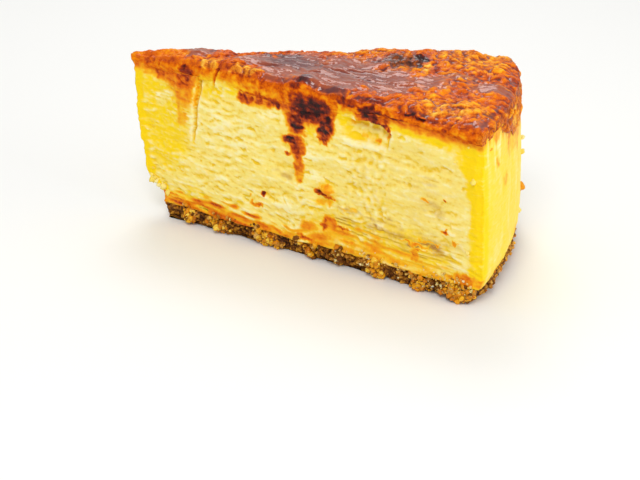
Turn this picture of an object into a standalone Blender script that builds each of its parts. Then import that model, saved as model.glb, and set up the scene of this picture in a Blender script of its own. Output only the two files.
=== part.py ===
"""A slice of baked cheesecake with a burnt sugar top, as three solids that lie on each other.

The slice is cut from a round cake. +X runs from its pointed end to its outer side, +Y across it and +Z up.
It stands on Z = 0, with the origin under the middle of its box. Its near cut side faces -Y.

Every layer starts as a block that is sliced into a grid of faces. Each point of the block has three
shares from 0 to 1: out from the tip, across the slice and up through the layer. The functions below turn
those shares into a place on the slice, and then add the crags, the tears and the crumb.
"""

import itertools
import math

import bmesh
import bpy
import numpy as np

MM = 0.001

# The cake that the slice was cut from
CAKE_RADIUS = 124.2 * MM
SLICE_ANGLE = math.radians(29.0)
TIP_X = -63.4 * MM
TIP_HALF_WIDTH = 1.3 * MM

# Heights of the layers
BASE_TOP = 6.3 * MM
SUGAR_BOTTOM = 51.6 * MM
SUGAR_TOP = 57.2 * MM
LAYER_GAP = 0.3 * MM

# The outer side: how far it stands out from the cake's radius, as (height, distance)
OUTER_SIDE = ((0, 0.6), (6, 1.2), (10, 2.2), (17, 2.1), (31, 1.2), (45, -0.2), (52, -0.8), (60, -0.6))

# How far the outer side turns in towards the far corner, and the biscuit towards the near one
FAR_CORNER_ROUND = 1.8 * MM
BISCUIT_CORNER_ROUND = 2.2 * MM

# The torn tip: how far back from the point each height starts, as (height, distance)
TORN_TIP = (
    (0, 13.6), (4, 11.8), (9.5, 11.2), (11.8, 9.8), (13.2, 6.6), (16, 5.4), (20, 5.0),
    (27, 3.7), (36, 2.8), (50, 2.2), (54, 0.9),
)

# How far the underside of the sugar dips below its usual height along the near side, as (along, distance)
SUGAR_EDGE = (
    (0, -2.2), (9, -0.4), (22, 1.2), (34, -0.6), (45, 1.2), (62, 2.6), (74, 1.4), (84, -0.6),
    (97, -2.2), (110, -1.8), (122, -0.4),
)

# How much higher the sugar's upper face lies along the far edge, as (along, height)
FAR_EDGE = (
    (0, -1.0), (6, 0.8), (12, 1.3), (20, 0.5), (27, -0.3), (33, -1.0), (42, -1.9), (50, -0.7),
    (57, -0.9), (65, 0.5), (74, -0.4), (82, 0.9), (90, 0.3), (100, 1.3), (107, 1.2), (116, 0.6), (122, 0.0),
)

# Hollows in the near cut side: along the slice, height, half length, half height and depth
HOLLOWS = {
    "pocket under the sugar": (86.0, 47.4, 8.0, 3.6, 3.0),
    "pit in the middle": (72.5, 23.2, 4.6, 3.4, 2.2),
    "scoop below the run of sugar": (59.0, 28.5, 6.0, 3.2, 1.1),
    "tear above the biscuit": (66.0, 12.5, 13.0, 4.0, 1.1),
    "hollow behind the tip": (11.0, 44.0, 5.0, 6.0, 0.8),
}

# Clumps of biscuit that stand out of its near side: along the slice, half length and distance
CLUMPS = (
    (22, 2.6, 2.2), (31.5, 3.6, 2.0), (51, 4.4, 2.0), (66, 2.8, 1.4), (91, 3.4, 1.3), (105, 3.2, 1.7),
    (119, 4.2, 1.5),
)

# Blisters on the sugar: along X from the tip, along Y, radius and height
BLISTERS = {
    "dark blister at the near edge": (61.0, -14.5, 5.0, 1.5),
    "char on the mound": (89.5, 15.0, 5.0, 0.4),
    "swell at the near corner": (116.0, -21.0, 7.0, 1.0),
    "ridge near the tip": (23.0, 3.0, 4.5, 1.0),
}

# The flap at the tip, split from the rest of the near side by one upright crack
CRACK_ALONG = 25.0 * MM
CRACK_BOTTOM = 29.0 * MM
CRACK_HALF_WIDTH = 1.6 * MM
CRACK_DEPTH = 1.3 * MM
FLAP_STANDS_OUT = 0.7 * MM

# Faces along the slice, across it and up it
FILLING_FACES = (44, 8, 16)
SUGAR_FACES = (44, 15, 3)
BISCUIT_FACES = (50, 8, 3)


def lattice_noise(points, cell, seed):
    """Smooth noise from about -1 to 1: each corner of a lattice of cells has a slope of its own, taken
    from its number, and a point takes a blend of the eight slopes round it."""
    place = points / cell + 31.7 * seed
    corner = np.floor(place).astype(np.int64)
    inside = place - corner
    ease = inside**3 * (inside * (inside * 6 - 15) + 10)
    total = np.zeros(len(points))
    for step in itertools.product((0, 1), repeat=3):
        number = (corner + step) @ np.array([73856093, 19349663, 83492791]) + 2654435761 * seed
        number = (number ^ (number >> 13)) * 1274126177 & 0x7FFFFFFF
        number = (number ^ (number >> 16)) * 668265263 & 0x7FFFFFFF
        turn = (number % 1021) * (2 * math.pi / 1021)
        lift = (number // 1021 % 1009) / 504.0 - 1
        level = np.sqrt(np.maximum(1 - lift**2, 0))
        slope = np.stack([level * np.cos(turn), level * np.sin(turn), lift], axis=1)
        weight = np.where(step, ease, 1 - ease).prod(axis=1)
        total += weight * ((inside - step) * slope).sum(axis=1)
    return 1.5 * total


def smooth_step(value, low, high):
    """0 below low, 1 above high, and an S between them."""
    share = np.clip((value - low) / (high - low), 0, 1)
    return share * share * (3 - 2 * share)


def read_off(profile, value):
    """A profile of millimetres, read at some values in metres."""
    places, sizes = np.array(profile).T * MM
    return np.interp(value, places, sizes)


def plan_place(out, across, height, start, end):
    """Where a point is, seen from above. out runs from start to end along the slice, and across from
    -1 on the near cut side to 1 on the far one. The tip is a little blunt."""
    end = end - FAR_CORNER_ROUND * smooth_step(across, 0.55, 1)
    along = start + (end - start) * out
    half_width = np.hypot(along * math.sin(SLICE_ANGLE / 2), TIP_HALF_WIDTH)
    angle = np.arctan2(half_width, along) * across
    x = TIP_X + along * np.cos(angle)
    y = half_width * across
    return np.stack([x, y, height], axis=1)


def along_slice(points):
    """How far each point is from the slice's pointed end."""
    return np.hypot(points[:, 0] - TIP_X, points[:, 1])


def at_height(points, height):
    """The same places seen from above, all at one height, for noise that must not change with height."""
    flat = points.copy()
    flat[:, 2] = height
    return flat


def biscuit_top(points):
    """Height of the biscuit's upper face, which the filling was poured over."""
    flat = at_height(points, 0)
    swell = 0.9 * MM * lattice_noise(flat, 15 * MM, 3)
    return BASE_TOP + swell + 0.4 * MM * smooth_step(flat[:, 0], 0, 40 * MM)


def sugar_bottom(points):
    """Height of the sugar's underside, which dips more along the near side than inside the cake."""
    flat = at_height(points, 0)
    near = smooth_step(-flat[:, 1], 0, 12 * MM)
    dip = read_off(SUGAR_EDGE, along_slice(flat))
    return SUGAR_BOTTOM - dip * (0.35 + 0.65 * near) + 0.5 * MM * lattice_noise(flat, 18 * MM, 5)


def sugar_top(points):
    """Height of the sugar's upper face: it rises from the tip to a low mound, and drops a little at the
    outer side."""
    flat = at_height(points, 0)
    along = along_slice(flat)
    rise = 2.6 * MM * smooth_step(along, 4 * MM, 45 * MM) - 1.6 * MM
    rise -= 0.9 * MM * smooth_step(along, 98 * MM, 122 * MM)
    mound = np.exp(-(((flat[:, 0] - 27 * MM) / (30 * MM)) ** 2) - ((flat[:, 1] - 16 * MM) / (15 * MM)) ** 2)
    swell = 0.8 * MM * lattice_noise(flat, 17 * MM, 7) + 0.9 * MM * lattice_noise(flat, 7.5 * MM, 8)
    for x, y, radius, height in np.array(list(BLISTERS.values())) * MM:
        swell += height * np.exp(-((flat[:, 0] - TIP_X - x) ** 2 + (flat[:, 1] - y) ** 2) / radius**2)
    turn = np.arctan2(flat[:, 1], flat[:, 0] - TIP_X) / (SLICE_ANGLE / 2)
    swell += smooth_step(turn, -0.3, 0.8) * read_off(FAR_EDGE, along)
    return SUGAR_TOP + rise + 1.2 * MM * mound + swell


def bump(distance_along, distance_up, half_length, half_height):
    """1 at the middle of an oval, falling smoothly to 0 outside it."""
    return np.exp(-((distance_along / half_length) ** 2) - (distance_up / half_height) ** 2)


def near_side_relief(points):
    """How far the near cut side stands out (or, below 0, sinks in) at each point."""
    along, height = along_slice(points), points[:, 2]
    relief = 0.8 * MM * lattice_noise(points * (0.45, 1, 1), 6 * MM, 11)
    for place, level, half_length, half_height, depth in np.array(list(HOLLOWS.values())) * MM:
        relief -= depth * bump(along - place, height - level, half_length, half_height)
    in_crack = smooth_step(height, CRACK_BOTTOM, CRACK_BOTTOM + 10 * MM)
    relief -= CRACK_DEPTH * in_crack * np.exp(-(((along - CRACK_ALONG) / CRACK_HALF_WIDTH) ** 2))
    relief += FLAP_STANDS_OUT * in_crack * (1 - smooth_step(along, CRACK_ALONG - 5 * MM, CRACK_ALONG))
    return relief


def far_side_relief(points):
    """The far cut side, which the photograph doesn't show: drag marks and a few soft dents."""
    return 0.9 * MM * lattice_noise(points * (0.45, 1, 1), 6 * MM, 13) - 0.3 * MM


def outer_side_relief(points):
    """The outer side, moulded by the tin: nearly smooth, with long upright ripples."""
    return 0.35 * MM * lattice_noise(points * (1, 1, 0.3), 8 * MM, 17)


def push_out(points, out, across, near, far, outer):
    """Moves the points of the cut sides and the outer side along those sides' own directions. Points
    inside an upper or lower face, away from its rim, stay where they are."""
    half = SLICE_ANGLE / 2
    moved = points.copy()
    on_near, on_far, on_outer = across < -0.999, across > 0.999, out > 0.999
    moved[on_near] += near[on_near, None] * np.array([-math.sin(half), -math.cos(half), 0])
    moved[on_far] += far[on_far, None] * np.array([-math.sin(half), math.cos(half), 0])
    moved[on_outer, 0] += outer[on_outer]
    return moved


def sliced_block(counts):
    """A cube from 0 to 1 whose six sides are cut into a grid, with counts faces along each axis."""
    mesh = bmesh.new()
    bmesh.ops.create_cube(mesh, size=1)
    bmesh.ops.translate(mesh, verts=mesh.verts, vec=(0.5, 0.5, 0.5))
    for axis, count in enumerate(counts):
        normal = [0.0, 0.0, 0.0]
        normal[axis] = 1.0
        for number in range(1, count):
            everything = mesh.verts[:] + mesh.edges[:] + mesh.faces[:]
            cut = [share * number / count for share in normal]
            bmesh.ops.bisect_plane(mesh, geom=everything, plane_co=cut, plane_no=normal)
    return mesh


def make_layer(name, counts, shape, material):
    """One layer: a sliced block whose points are moved by shape(out, across, up)."""
    mesh = sliced_block(counts)
    shares = np.array([vertex.co[:] for vertex in mesh.verts])
    places = shape(shares[:, 0], 2 * shares[:, 1] - 1, shares[:, 2])
    for vertex, place in zip(mesh.verts, places):
        vertex.co = place
    bmesh.ops.triangulate(mesh, faces=mesh.faces)
    bmesh.ops.recalc_face_normals(mesh, faces=mesh.faces)
    data = bpy.data.meshes.new(name)
    mesh.to_mesh(data)
    mesh.free()
    data.shade_smooth()
    data.set_sharp_from_angle(angle=math.radians(50))
    data.materials.append(material)
    layer = bpy.data.objects.new(name, data)
    bpy.context.collection.objects.link(layer)
    return layer


def filling_shape(out, across, up):
    """The baked filling, between the biscuit and the sugar, with its torn near side."""
    height = BASE_TOP + (SUGAR_BOTTOM - BASE_TOP) * up
    end = CAKE_RADIUS + read_off(OUTER_SIDE, height)
    places = plan_place(out, across, height, read_off(TORN_TIP, height), end)
    low, high = biscuit_top(places) + LAYER_GAP, sugar_bottom(places) - LAYER_GAP
    places[:, 2] = low + (high - low) * up
    relief = (near_side_relief(places), far_side_relief(places), outer_side_relief(places))
    places = push_out(places, out, across, *relief)
    places[:, 2] = np.where(up < 0.001, biscuit_top(places) + LAYER_GAP, places[:, 2])
    places[:, 2] = np.where(up > 0.999, sugar_bottom(places) - LAYER_GAP, places[:, 2])
    return places


def sugar_shape(out, across, up):
    """The burnt sugar: bubbled on top, rounded at its rim, and lapping over the filling's sides."""
    start = read_off(TORN_TIP, np.full(len(out), SUGAR_TOP))
    places = plan_place(out, across, np.full(len(out), SUGAR_BOTTOM), start, CAKE_RADIUS - 1.2 * MM)
    lap = 0.6 * MM + 0.8 * MM * lattice_noise(at_height(places, 0), 9 * MM, 19)
    lap += 0.8 * MM * smooth_step(along_slice(places), 88 * MM, 110 * MM)
    bulge = lap * np.sin(math.pi * np.clip(0.15 + 0.7 * up, 0, 1)) - 0.5 * MM * smooth_step(up, 0.6, 1)
    places = push_out(places, out, across, bulge, 0.8 * bulge, 0.4 * bulge)
    low, high = sugar_bottom(places), sugar_top(places)
    rim = np.maximum(smooth_step(np.abs(across), 0.82, 1), smooth_step(out, 0.95, 1))
    high -= 1.3 * MM * rim
    places[:, 2] = low + (high - low) * up
    return places


def biscuit_shape(out, across, up):
    """The biscuit base: flat underneath, with ragged sides where the crumb broke away."""
    height = BASE_TOP * up
    end = CAKE_RADIUS + read_off(OUTER_SIDE, height) - BISCUIT_CORNER_ROUND * smooth_step(-across, 0.6, 1)
    places = plan_place(out, across, height, read_off(TORN_TIP, height), end)
    crumb = 1.3 * MM * lattice_noise(places, 5 * MM, 23) + 0.5 * MM * lattice_noise(places, 11 * MM, 29)
    clumps = np.zeros(len(out))
    for place, half_length, distance in np.array(CLUMPS) * MM:
        clumps += distance * bump(along_slice(places) - place, height, half_length, 5 * MM)
    places = push_out(places, out, across, crumb + clumps - 1.2 * MM, crumb, 0.6 * crumb)
    rim = np.maximum(np.abs(across) > 0.999, np.maximum(out > 0.999, out < 0.001))
    chipped = rim * np.maximum(0, 0.9 * MM * lattice_noise(at_height(places, 0), 6 * MM, 31) + 0.2 * MM)
    places[:, 2] = biscuit_top(places) * up + chipped * (1 - up)
    return places


def food_material(name, colour, roughness):
    """A Principled material of one colour. colour is linear red, green and blue."""
    material = bpy.data.materials.new(name)
    material.use_nodes = True
    shader = material.node_tree.nodes["Principled BSDF"]
    shader.inputs["Base Color"].default_value = (*colour, 1)
    shader.inputs["Roughness"].default_value = roughness
    shader.inputs["Metallic"].default_value = 0
    material.diffuse_color = (*colour, 1)
    return material


def clear_scene():
    """Removes what the scene holds at the start."""
    for thing in list(bpy.data.objects):
        bpy.data.objects.remove(thing)


clear_scene()
biscuit = food_material("biscuit crumb", (0.16, 0.07, 0.02), 0.8)
custard = food_material("baked filling", (0.88, 0.66, 0.2), 0.5)
sugar = food_material("burnt sugar", (0.36, 0.1, 0.02), 0.25)
make_layer("biscuit_base", BISCUIT_FACES, biscuit_shape, biscuit)
make_layer("cheese_filling", FILLING_FACES, filling_shape, custard)
make_layer("burnt_sugar_top", SUGAR_FACES, sugar_shape, sugar)
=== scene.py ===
# %% [markdown]
# # A slice of baked cheesecake with a burnt sugar top
#
# The slice has three layers, as the real one has: a thin base of dark biscuit crumb, a tall baked
# filling, and a layer of sugar that was burnt with a torch. This file dresses those layers. It makes each
# one again at a much finer grain than the solid that it stands for, from the same formulas, and then adds
# what lies loose on them: golden clumps, dark crumbs, sugar grains and curds of filling.
#
# Lengths are in millimetres until a mesh is made, where they become metres. +X runs from the pointed tip
# to the outer side, -Y is the near cut side and +Z is up.

# %% Load the frame
import itertools
import math

import bpy
import numpy as np
from mathutils import Matrix, Vector


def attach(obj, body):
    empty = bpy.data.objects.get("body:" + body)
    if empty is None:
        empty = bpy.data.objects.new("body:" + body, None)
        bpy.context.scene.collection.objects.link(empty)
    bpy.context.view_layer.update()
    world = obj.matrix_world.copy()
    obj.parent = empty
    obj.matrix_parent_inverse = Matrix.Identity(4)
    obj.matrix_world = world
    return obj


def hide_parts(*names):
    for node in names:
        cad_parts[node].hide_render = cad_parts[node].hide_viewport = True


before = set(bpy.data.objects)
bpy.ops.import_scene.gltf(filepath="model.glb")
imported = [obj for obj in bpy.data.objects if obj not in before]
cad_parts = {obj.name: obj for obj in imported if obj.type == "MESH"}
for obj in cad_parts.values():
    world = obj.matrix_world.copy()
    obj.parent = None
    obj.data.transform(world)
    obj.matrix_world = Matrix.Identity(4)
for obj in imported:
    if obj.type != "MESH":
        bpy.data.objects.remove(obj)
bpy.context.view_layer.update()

MM = 0.001

# %% [markdown]
# ## The slice's own sizes
#
# The first values are those that the solids were made from. The near side and the sugar's edge follow
# short profiles, each a list of a place and a distance, because a torn edge has no simple formula. What
# lies between their points is read off by straight lines, and noise bends it.

# %% Driving sizes
CAKE_RADIUS = 124.2
SLICE_ANGLE = math.radians(29.0)
HALF = SLICE_ANGLE / 2
TIP_X = -63.4
TIP_HALF_WIDTH = 1.3
BASE_TOP = 6.3
SUGAR_BOTTOM = 51.6
SUGAR_TOP = 57.2
FAR_CORNER_ROUND = 1.8
BISCUIT_CORNER_ROUND = 2.2

# How far the outer side bulges at each height
OUTER_SIDE = ((0, 0.6), (6, 1.2), (10, 2.2), (17, 2.1), (31, 1.2), (45, -0.2), (52, -0.8), (60, -0.6))
# How far from the pointed end the torn tip starts at each height
TORN_TIP = (
    (0, 13.6), (4, 11.8), (9.5, 11.2), (11.8, 9.8), (13.2, 6.6), (16, 5.4), (20, 5.0),
    (27, 3.7), (36, 2.8), (50, 2.2), (54, 0.9),
)
# How far the sugar's lower edge dips at each place along the near side
SUGAR_EDGE = (
    (0, -2.2), (9, -0.4), (22, 1.2), (34, -0.6), (45, 1.2), (62, 2.6), (74, 1.4), (84, -0.6),
    (97, -2.2), (110, -1.8), (122, -0.4),
)
# How far the sugar's far edge rises at each place along it
FAR_EDGE = (
    (0, -1.0), (6, 0.8), (12, 1.3), (20, 0.5), (27, -0.3), (33, -1.0), (42, -1.9), (50, -0.7),
    (57, -0.9), (65, 0.5), (74, -0.4), (82, 0.9), (90, 0.3), (100, 1.3), (107, 1.2), (116, 0.6), (122, 0.0),
)
NEAR_NORMAL = np.array([-math.sin(HALF), -math.cos(HALF), 0])
FAR_NORMAL = np.array([-math.sin(HALF), math.cos(HALF), 0])
OUTER_NORMAL = np.array([1.0, 0.0, 0.0])

# %% [markdown]
# ## Noise in whole arrays
#
# Food is uneven at every scale, so most of its surface comes from noise. Two kinds are enough. Lattice
# noise is soft and swelling, like baked custard. Cell noise gives each point the distance to its nearest
# seed, which makes domes: bubbles in sugar, or crumbs pressed together. Both work on all the points of a
# surface at once. The last argument of a noise is a whole number that picks one pattern, and two functions
# that need the same pattern use the same number.


# %% Lattice noise and smooth steps
def lattice_noise(points, cell, seed):
    """Smooth noise from about -1 to 1: each corner of a lattice of cells has a slope of its own, taken
    from its number, and a point takes a blend of the eight slopes round it."""
    place = points / cell + 31.7 * seed
    corner = np.floor(place).astype(np.int64)
    inside = place - corner
    ease = inside**3 * (inside * (inside * 6 - 15) + 10)
    total = np.zeros(len(points))
    for step in itertools.product((0, 1), repeat=3):
        number = (corner + step) @ np.array([73856093, 19349663, 83492791]) + 2654435761 * seed
        number = (number ^ (number >> 13)) * 1274126177 & 0x7FFFFFFF
        number = (number ^ (number >> 16)) * 668265263 & 0x7FFFFFFF
        turn = (number % 1021) * (2 * math.pi / 1021)
        lift = (number // 1021 % 1009) / 504.0 - 1
        level = np.sqrt(np.maximum(1 - lift**2, 0))
        slope = np.stack([level * np.cos(turn), level * np.sin(turn), lift], axis=1)
        weight = np.where(step, ease, 1 - ease).prod(axis=1)
        total += weight * ((inside - step) * slope).sum(axis=1)
    return 1.5 * total


def flat_noise(first, second, cell, seed):
    """Lattice noise over two measures, such as how far along the slice and how high."""
    return lattice_noise(np.stack([first, second, np.full_like(first, 0.37 * cell)], axis=1), cell, seed)


def smooth_step(value, low, high):
    """0 below low, 1 above high, and an S between them."""
    share = np.clip((value - low) / (high - low), 0, 1)
    return share * share * (3 - 2 * share)


def fade(value, low, high):
    """1 below low, 0 above high, and an S between them."""
    return smooth_step(-value, -high, -low)


def read_off(profile, value):
    """A profile of (place, distance) pairs, read at some values."""
    places, sizes = np.array(profile).T
    return np.interp(value, places, sizes)


def blend(low, high, share):
    """low where share is 0, high where it is 1."""
    return low + (high - low) * share


# %% Cell noise
def hashed(cells, seed, number):
    """A fixed random share from 0 to 1 for each cell of a flat lattice. number picks which one."""
    key = cells[:, 0] * 73856093 ^ cells[:, 1] * 19349663 ^ (seed * 83492791 + number * 2654435761)
    key = (key ^ (key >> 13)) * 1274126177 & 0x7FFFFFFF
    key = (key ^ (key >> 16)) * 668265263 & 0x7FFFFFFF
    return (key % 65521) / 65521.0


def domes(first, second, cell, seed):
    """Round domes packed side by side. Each cell of a flat lattice has one seed at a random place in it.
    A point takes its nearest seed: the dome's height falls from 1 over the seed to 0 half a cell away
    or more, as 1 - r squared. Also returned are the gap between the two nearest seeds, which is 0 along
    the creases, and the nearest seed's own random share."""
    place = np.stack([first, second], axis=1) / cell
    home = np.floor(place).astype(np.int64)
    near = np.full(len(place), 9.0)
    next_near = near.copy()
    own = np.zeros(len(place))
    for step in itertools.product((-1, 0, 1), repeat=2):
        cells = home + step
        seed_place = cells + np.stack([hashed(cells, seed, 1), hashed(cells, seed, 2)], axis=1)
        distance = np.hypot(*(place - seed_place).T)
        closer = distance < near
        next_near = np.where(closer, near, np.minimum(next_near, distance))
        own = np.where(closer, hashed(cells, seed, 3), own)
        near = np.minimum(near, distance)
    return np.clip(1 - (near / 0.75) ** 2, 0, 1), next_near - near, own


trial = np.linspace(0, 50, 200)
print("noise range:", round(float(flat_noise(trial, trial, 7.0, 1).min()), 2), "to",
      round(float(flat_noise(trial, trial, 7.0, 1).max()), 2))

# %% [markdown]
# ## Where a point of the slice is
#
# A wedge is easy to describe with two shares: `out` goes from the tip to the outer side, and `across`
# from -1 on the near cut side to 1 on the far one. Height is the third. With these, a layer's side is one
# sheet that is wrapped round the wedge, so a single grid makes it.


# %% Places in plan and the layers' heights
def plan_place(out, across, height, start, end):
    """A point's place. It lies on a ray from the tip, at start + (end - start) * out along it, and
    across turns that ray. The tip is a little blunt, so the half width never gets under its own."""
    end = end - FAR_CORNER_ROUND * smooth_step(across, 0.55, 1)
    along = start + (end - start) * out
    half_width = np.hypot(along * math.sin(HALF), TIP_HALF_WIDTH)
    angle = np.arctan2(half_width, along) * across
    return np.stack([TIP_X + along * np.cos(angle), half_width * across, height], axis=1)


def along_slice(points):
    """How far each point is from the slice's pointed end."""
    return np.hypot(points[:, 0] - TIP_X, points[:, 1])


def at_height(points, height):
    """The same places seen from above, all at one height, for noise that must not change with height."""
    return np.concatenate([points[:, :2], np.full((len(points), 1), float(height))], axis=1)


def biscuit_top(points):
    """Height of the biscuit's upper face: a plane with soft noise, rising a little to the outer side."""
    flat = at_height(points, 0)
    return BASE_TOP + 0.9 * lattice_noise(flat, 15, 3) + 0.4 * smooth_step(flat[:, 0], 0, 40)


def sugar_bottom(points):
    """Height of the sugar's underside: a plane that dips by the edge profile, most along the near side."""
    flat = at_height(points, 0)
    near = smooth_step(-flat[:, 1], 0, 12)
    dip = read_off(SUGAR_EDGE, along_slice(flat))
    return SUGAR_BOTTOM - dip * (0.35 + 0.65 * near) + 0.5 * lattice_noise(flat, 18, 5)


# %% Sides and their edges
def on_near_side(along, height):
    """A place on the near cut side, at a distance along it and a height."""
    return np.array([TIP_X + along * math.cos(HALF), -along * math.sin(HALF), height])


def perimeter(near, outer, far, tip):
    """Once round the slice, as out and across: up the near side, over the outer one, back and round the
    tip, with that many steps on each."""
    out = [np.linspace(0, 1, near, endpoint=False), np.ones(outer),
           np.linspace(1, 0, far, endpoint=False), np.zeros(tip)]
    across = [-np.ones(near), np.linspace(-1, 1, outer, endpoint=False),
              np.ones(far), np.linspace(1, -1, tip, endpoint=False)]
    return np.concatenate(out), np.concatenate(across)


def side_shares(out, across):
    """How much a point belongs to the near side, the far side, the outer side and the tip. At an edge
    two of them fade into each other, so that a side's relief doesn't end in a step."""
    near = fade(across, -1, -0.9)
    far = smooth_step(across, 0.9, 1)
    outer = smooth_step(out, 0.975, 1)
    tip = fade(out, 0, 0.03)
    return near, far, outer, tip


# %% [markdown]
# ## Sewing a closed skin from loops
#
# A closed piece can be a stack of loops: a point in the middle of the top, loops that widen to the rim,
# loops down the side, loops that narrow underneath, and a last point. Each pair of neighbouring loops is
# joined by a band of four-sided faces. Every loop has the same number of points, so the whole skin is one
# array of indexes. The order of the corners makes every face point outwards.


# %% Loops into faces
def sew(loops):
    """Four-sided faces between neighbouring loops. loops is an array of point numbers, a row a loop."""
    upper, lower = loops[:-1], loops[1:]
    bands = np.stack([upper, lower, np.roll(lower, -1, axis=1), np.roll(upper, -1, axis=1)], axis=-1)
    return bands.reshape(-1, 4)


def fan(pole, loop, pole_first):
    """Three-sided faces between one point and the loop next to it."""
    pole = np.full(len(loop), pole)
    following = np.roll(loop, -1)
    corners = [pole, loop, following] if pole_first else [loop, pole, following]
    return np.stack(corners, axis=-1)


def grid_faces(rows, columns):
    """Four-sided faces of a grid of points, rows by columns, numbered row by row."""
    number = np.arange(rows * columns).reshape(rows, columns)
    corners = [number[:-1, :-1], number[1:, :-1], number[1:, 1:], number[:-1, 1:]]
    return np.stack(corners, axis=-1).reshape(-1, 4)


# %% Arrays into a piece
def make_piece(name, points, quads, triangles, attributes, finish):
    """A mesh object from arrays. points are in millimetres, and each attribute is one number a point."""
    mesh = bpy.data.meshes.new(name)
    mesh.vertices.add(len(points))
    mesh.vertices.foreach_set("co", (points * MM).astype(np.float32).ravel())
    corners = np.concatenate([quads.ravel(), triangles.ravel()]).astype(np.int32)
    mesh.loops.add(len(corners))
    mesh.loops.foreach_set("vertex_index", corners)
    mesh.polygons.add(len(quads) + len(triangles))
    starts = np.concatenate([4 * np.arange(len(quads)), 4 * len(quads) + 3 * np.arange(len(triangles))])
    mesh.polygons.foreach_set("loop_start", starts.astype(np.int32))
    mesh.update(calc_edges=True)
    mesh.validate()
    for title, values in attributes.items():
        layer = mesh.attributes.new(title, "FLOAT", "POINT")
        layer.data.foreach_set("value", values.astype(np.float32))
    mesh.shade_smooth()
    mesh.materials.append(finish)
    piece = bpy.data.objects.new(name, mesh)
    bpy.context.collection.objects.link(piece)
    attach(piece, "root")
    measure(piece)
    return piece


def measure(piece):
    """Prints a piece's triangles and its volume, which is above 0 where the faces point outwards."""
    piece.data.calc_loop_triangles()
    count = len(piece.data.loop_triangles)
    corners = np.empty(count * 3, np.int32)
    piece.data.loop_triangles.foreach_get("vertices", corners)
    places = np.empty(len(piece.data.vertices) * 3, np.float32)
    piece.data.vertices.foreach_get("co", places)
    sides = places.reshape(-1, 3)[corners.reshape(-1, 3)].astype(float) / (10 * MM)
    volume = np.einsum("ij,ij->i", sides[:, 0], np.cross(sides[:, 1], sides[:, 2])).sum() / 6
    print(f"{piece.name}: {count} triangles, {volume:.2f} cm3")


# %% [markdown]
# ## Writing shaders as sums
#
# A node tree is easier to read as arithmetic. `Wire` wraps an output socket and overloads + - * and the
# rest, so `1 - mask * 0.5` adds the Math nodes that it says. Colours don't go through Math nodes, which
# would turn them grey: `mix` blends them with a Mix node. `Recipe.node` makes any other node.


# %% A small language for materials
class Wire:
    """An output socket of a recipe's tree, with arithmetic that adds Math nodes."""

    def __init__(self, recipe, socket):
        self.recipe, self.socket = recipe, socket

    def maths(self, operation, first, second):
        """One Math node on two wires or numbers."""
        return self.recipe.node("ShaderNodeMath", {"operation": operation}, {0: first, 1: second})

    def __add__(self, other):
        return self.maths("ADD", self, other)

    def __sub__(self, other):
        return self.maths("SUBTRACT", self, other)

    def __rsub__(self, other):
        return self.maths("SUBTRACT", other, self)

    def __mul__(self, other):
        return self.maths("MULTIPLY", self, other)

    __radd__ = __add__
    __rmul__ = __mul__

    def step(self, low, high):
        """0 below low, 1 above high, smooth between."""
        ends = {"Value": self, "From Min": low, "From Max": high}
        return self.recipe.node("ShaderNodeMapRange", {"interpolation_type": "SMOOTHSTEP"}, ends)


class Recipe:
    """The material of one finish: a Principled BSDF and the nodes that feed it."""

    def __init__(self, name, **constants):
        self.material = bpy.data.materials.new(name)
        self.material.use_nodes = True
        self.tree = self.material.node_tree
        self.shader = self.tree.nodes["Principled BSDF"]
        for title, value in constants.items():
            self.shader.inputs[title.replace("_", " ")].default_value = value
        self.place = self.node("ShaderNodeTexCoord", output="Object")

    def plug(self, socket, value):
        """Sets a socket to a number or a colour, or links a wire to it."""
        if isinstance(value, Wire):
            self.tree.links.new(value.socket, socket)
        elif isinstance(value, tuple) and len(value) == 3 and socket.type == "RGBA":
            socket.default_value = (*value, 1)
        else:
            socket.default_value = value

    def node(self, kind, settings=None, values=None, output=0):
        """Adds a node. Its settings come first, then its sockets, named or numbered. A ramp's stops are
        (place, colour) pairs."""
        node = self.tree.nodes.new(kind)
        for title, value in (settings or {}).items():
            if title == "stops":
                self.set_stops(node.color_ramp, value)
            else:
                setattr(node, title, value)
        for title, value in (values or {}).items():
            self.plug(node.inputs[title], value)
        return Wire(self, node.outputs[output])

    def set_stops(self, ramp, stops):
        """Puts a ramp's stops in place, taking over the two that it starts with."""
        while len(ramp.elements) < len(stops):
            ramp.elements.new(1.0)
        for element, (place, colour) in zip(ramp.elements, stops):
            element.position = place
            element.color = (*colour, 1)

    def attribute(self, title):
        """A number that the mesh carries at each point."""
        return self.node("ShaderNodeAttribute", {"attribute_name": title}, output="Fac")

    def noise(self, size, detail=3.0, stretch=(1, 1, 1)):
        """Noise from 0 to 1 whose lumps are about size millimetres across, times stretch."""
        place = self.node("ShaderNodeVectorMath", {"operation": "DIVIDE"},
                          {0: self.place, 1: tuple(size * MM * side for side in stretch)})
        values = {"Vector": place, "Scale": 1.0, "Detail": detail, "Roughness": 0.55}
        return self.node("ShaderNodeTexNoise", values=values)

    def mix(self, low, high, share):
        """A colour between two: low where share is 0, high where it is 1."""
        values = {0: share, 6: low, 7: high}
        return self.node("ShaderNodeMix", {"data_type": "RGBA"}, values, output=2)

    def ramp(self, share, stops):
        """A colour read off a row of stops."""
        return self.node("ShaderNodeValToRGB", {"stops": stops}, {"Fac": share}, output="Color")

    def bump(self, height, depth):
        """Fine relief from a wire: depth is how deep it is, in millimetres."""
        values = {"Height": height, "Strength": 1.0, "Distance": depth * MM}
        return self.node("ShaderNodeBump", values=values)

    def finish(self, **inputs):
        """Links what changes over the surface, and gives back the material."""
        for title, value in inputs.items():
            self.plug(self.shader.inputs[title.replace("_", " ")], value)
        return self.material


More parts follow.
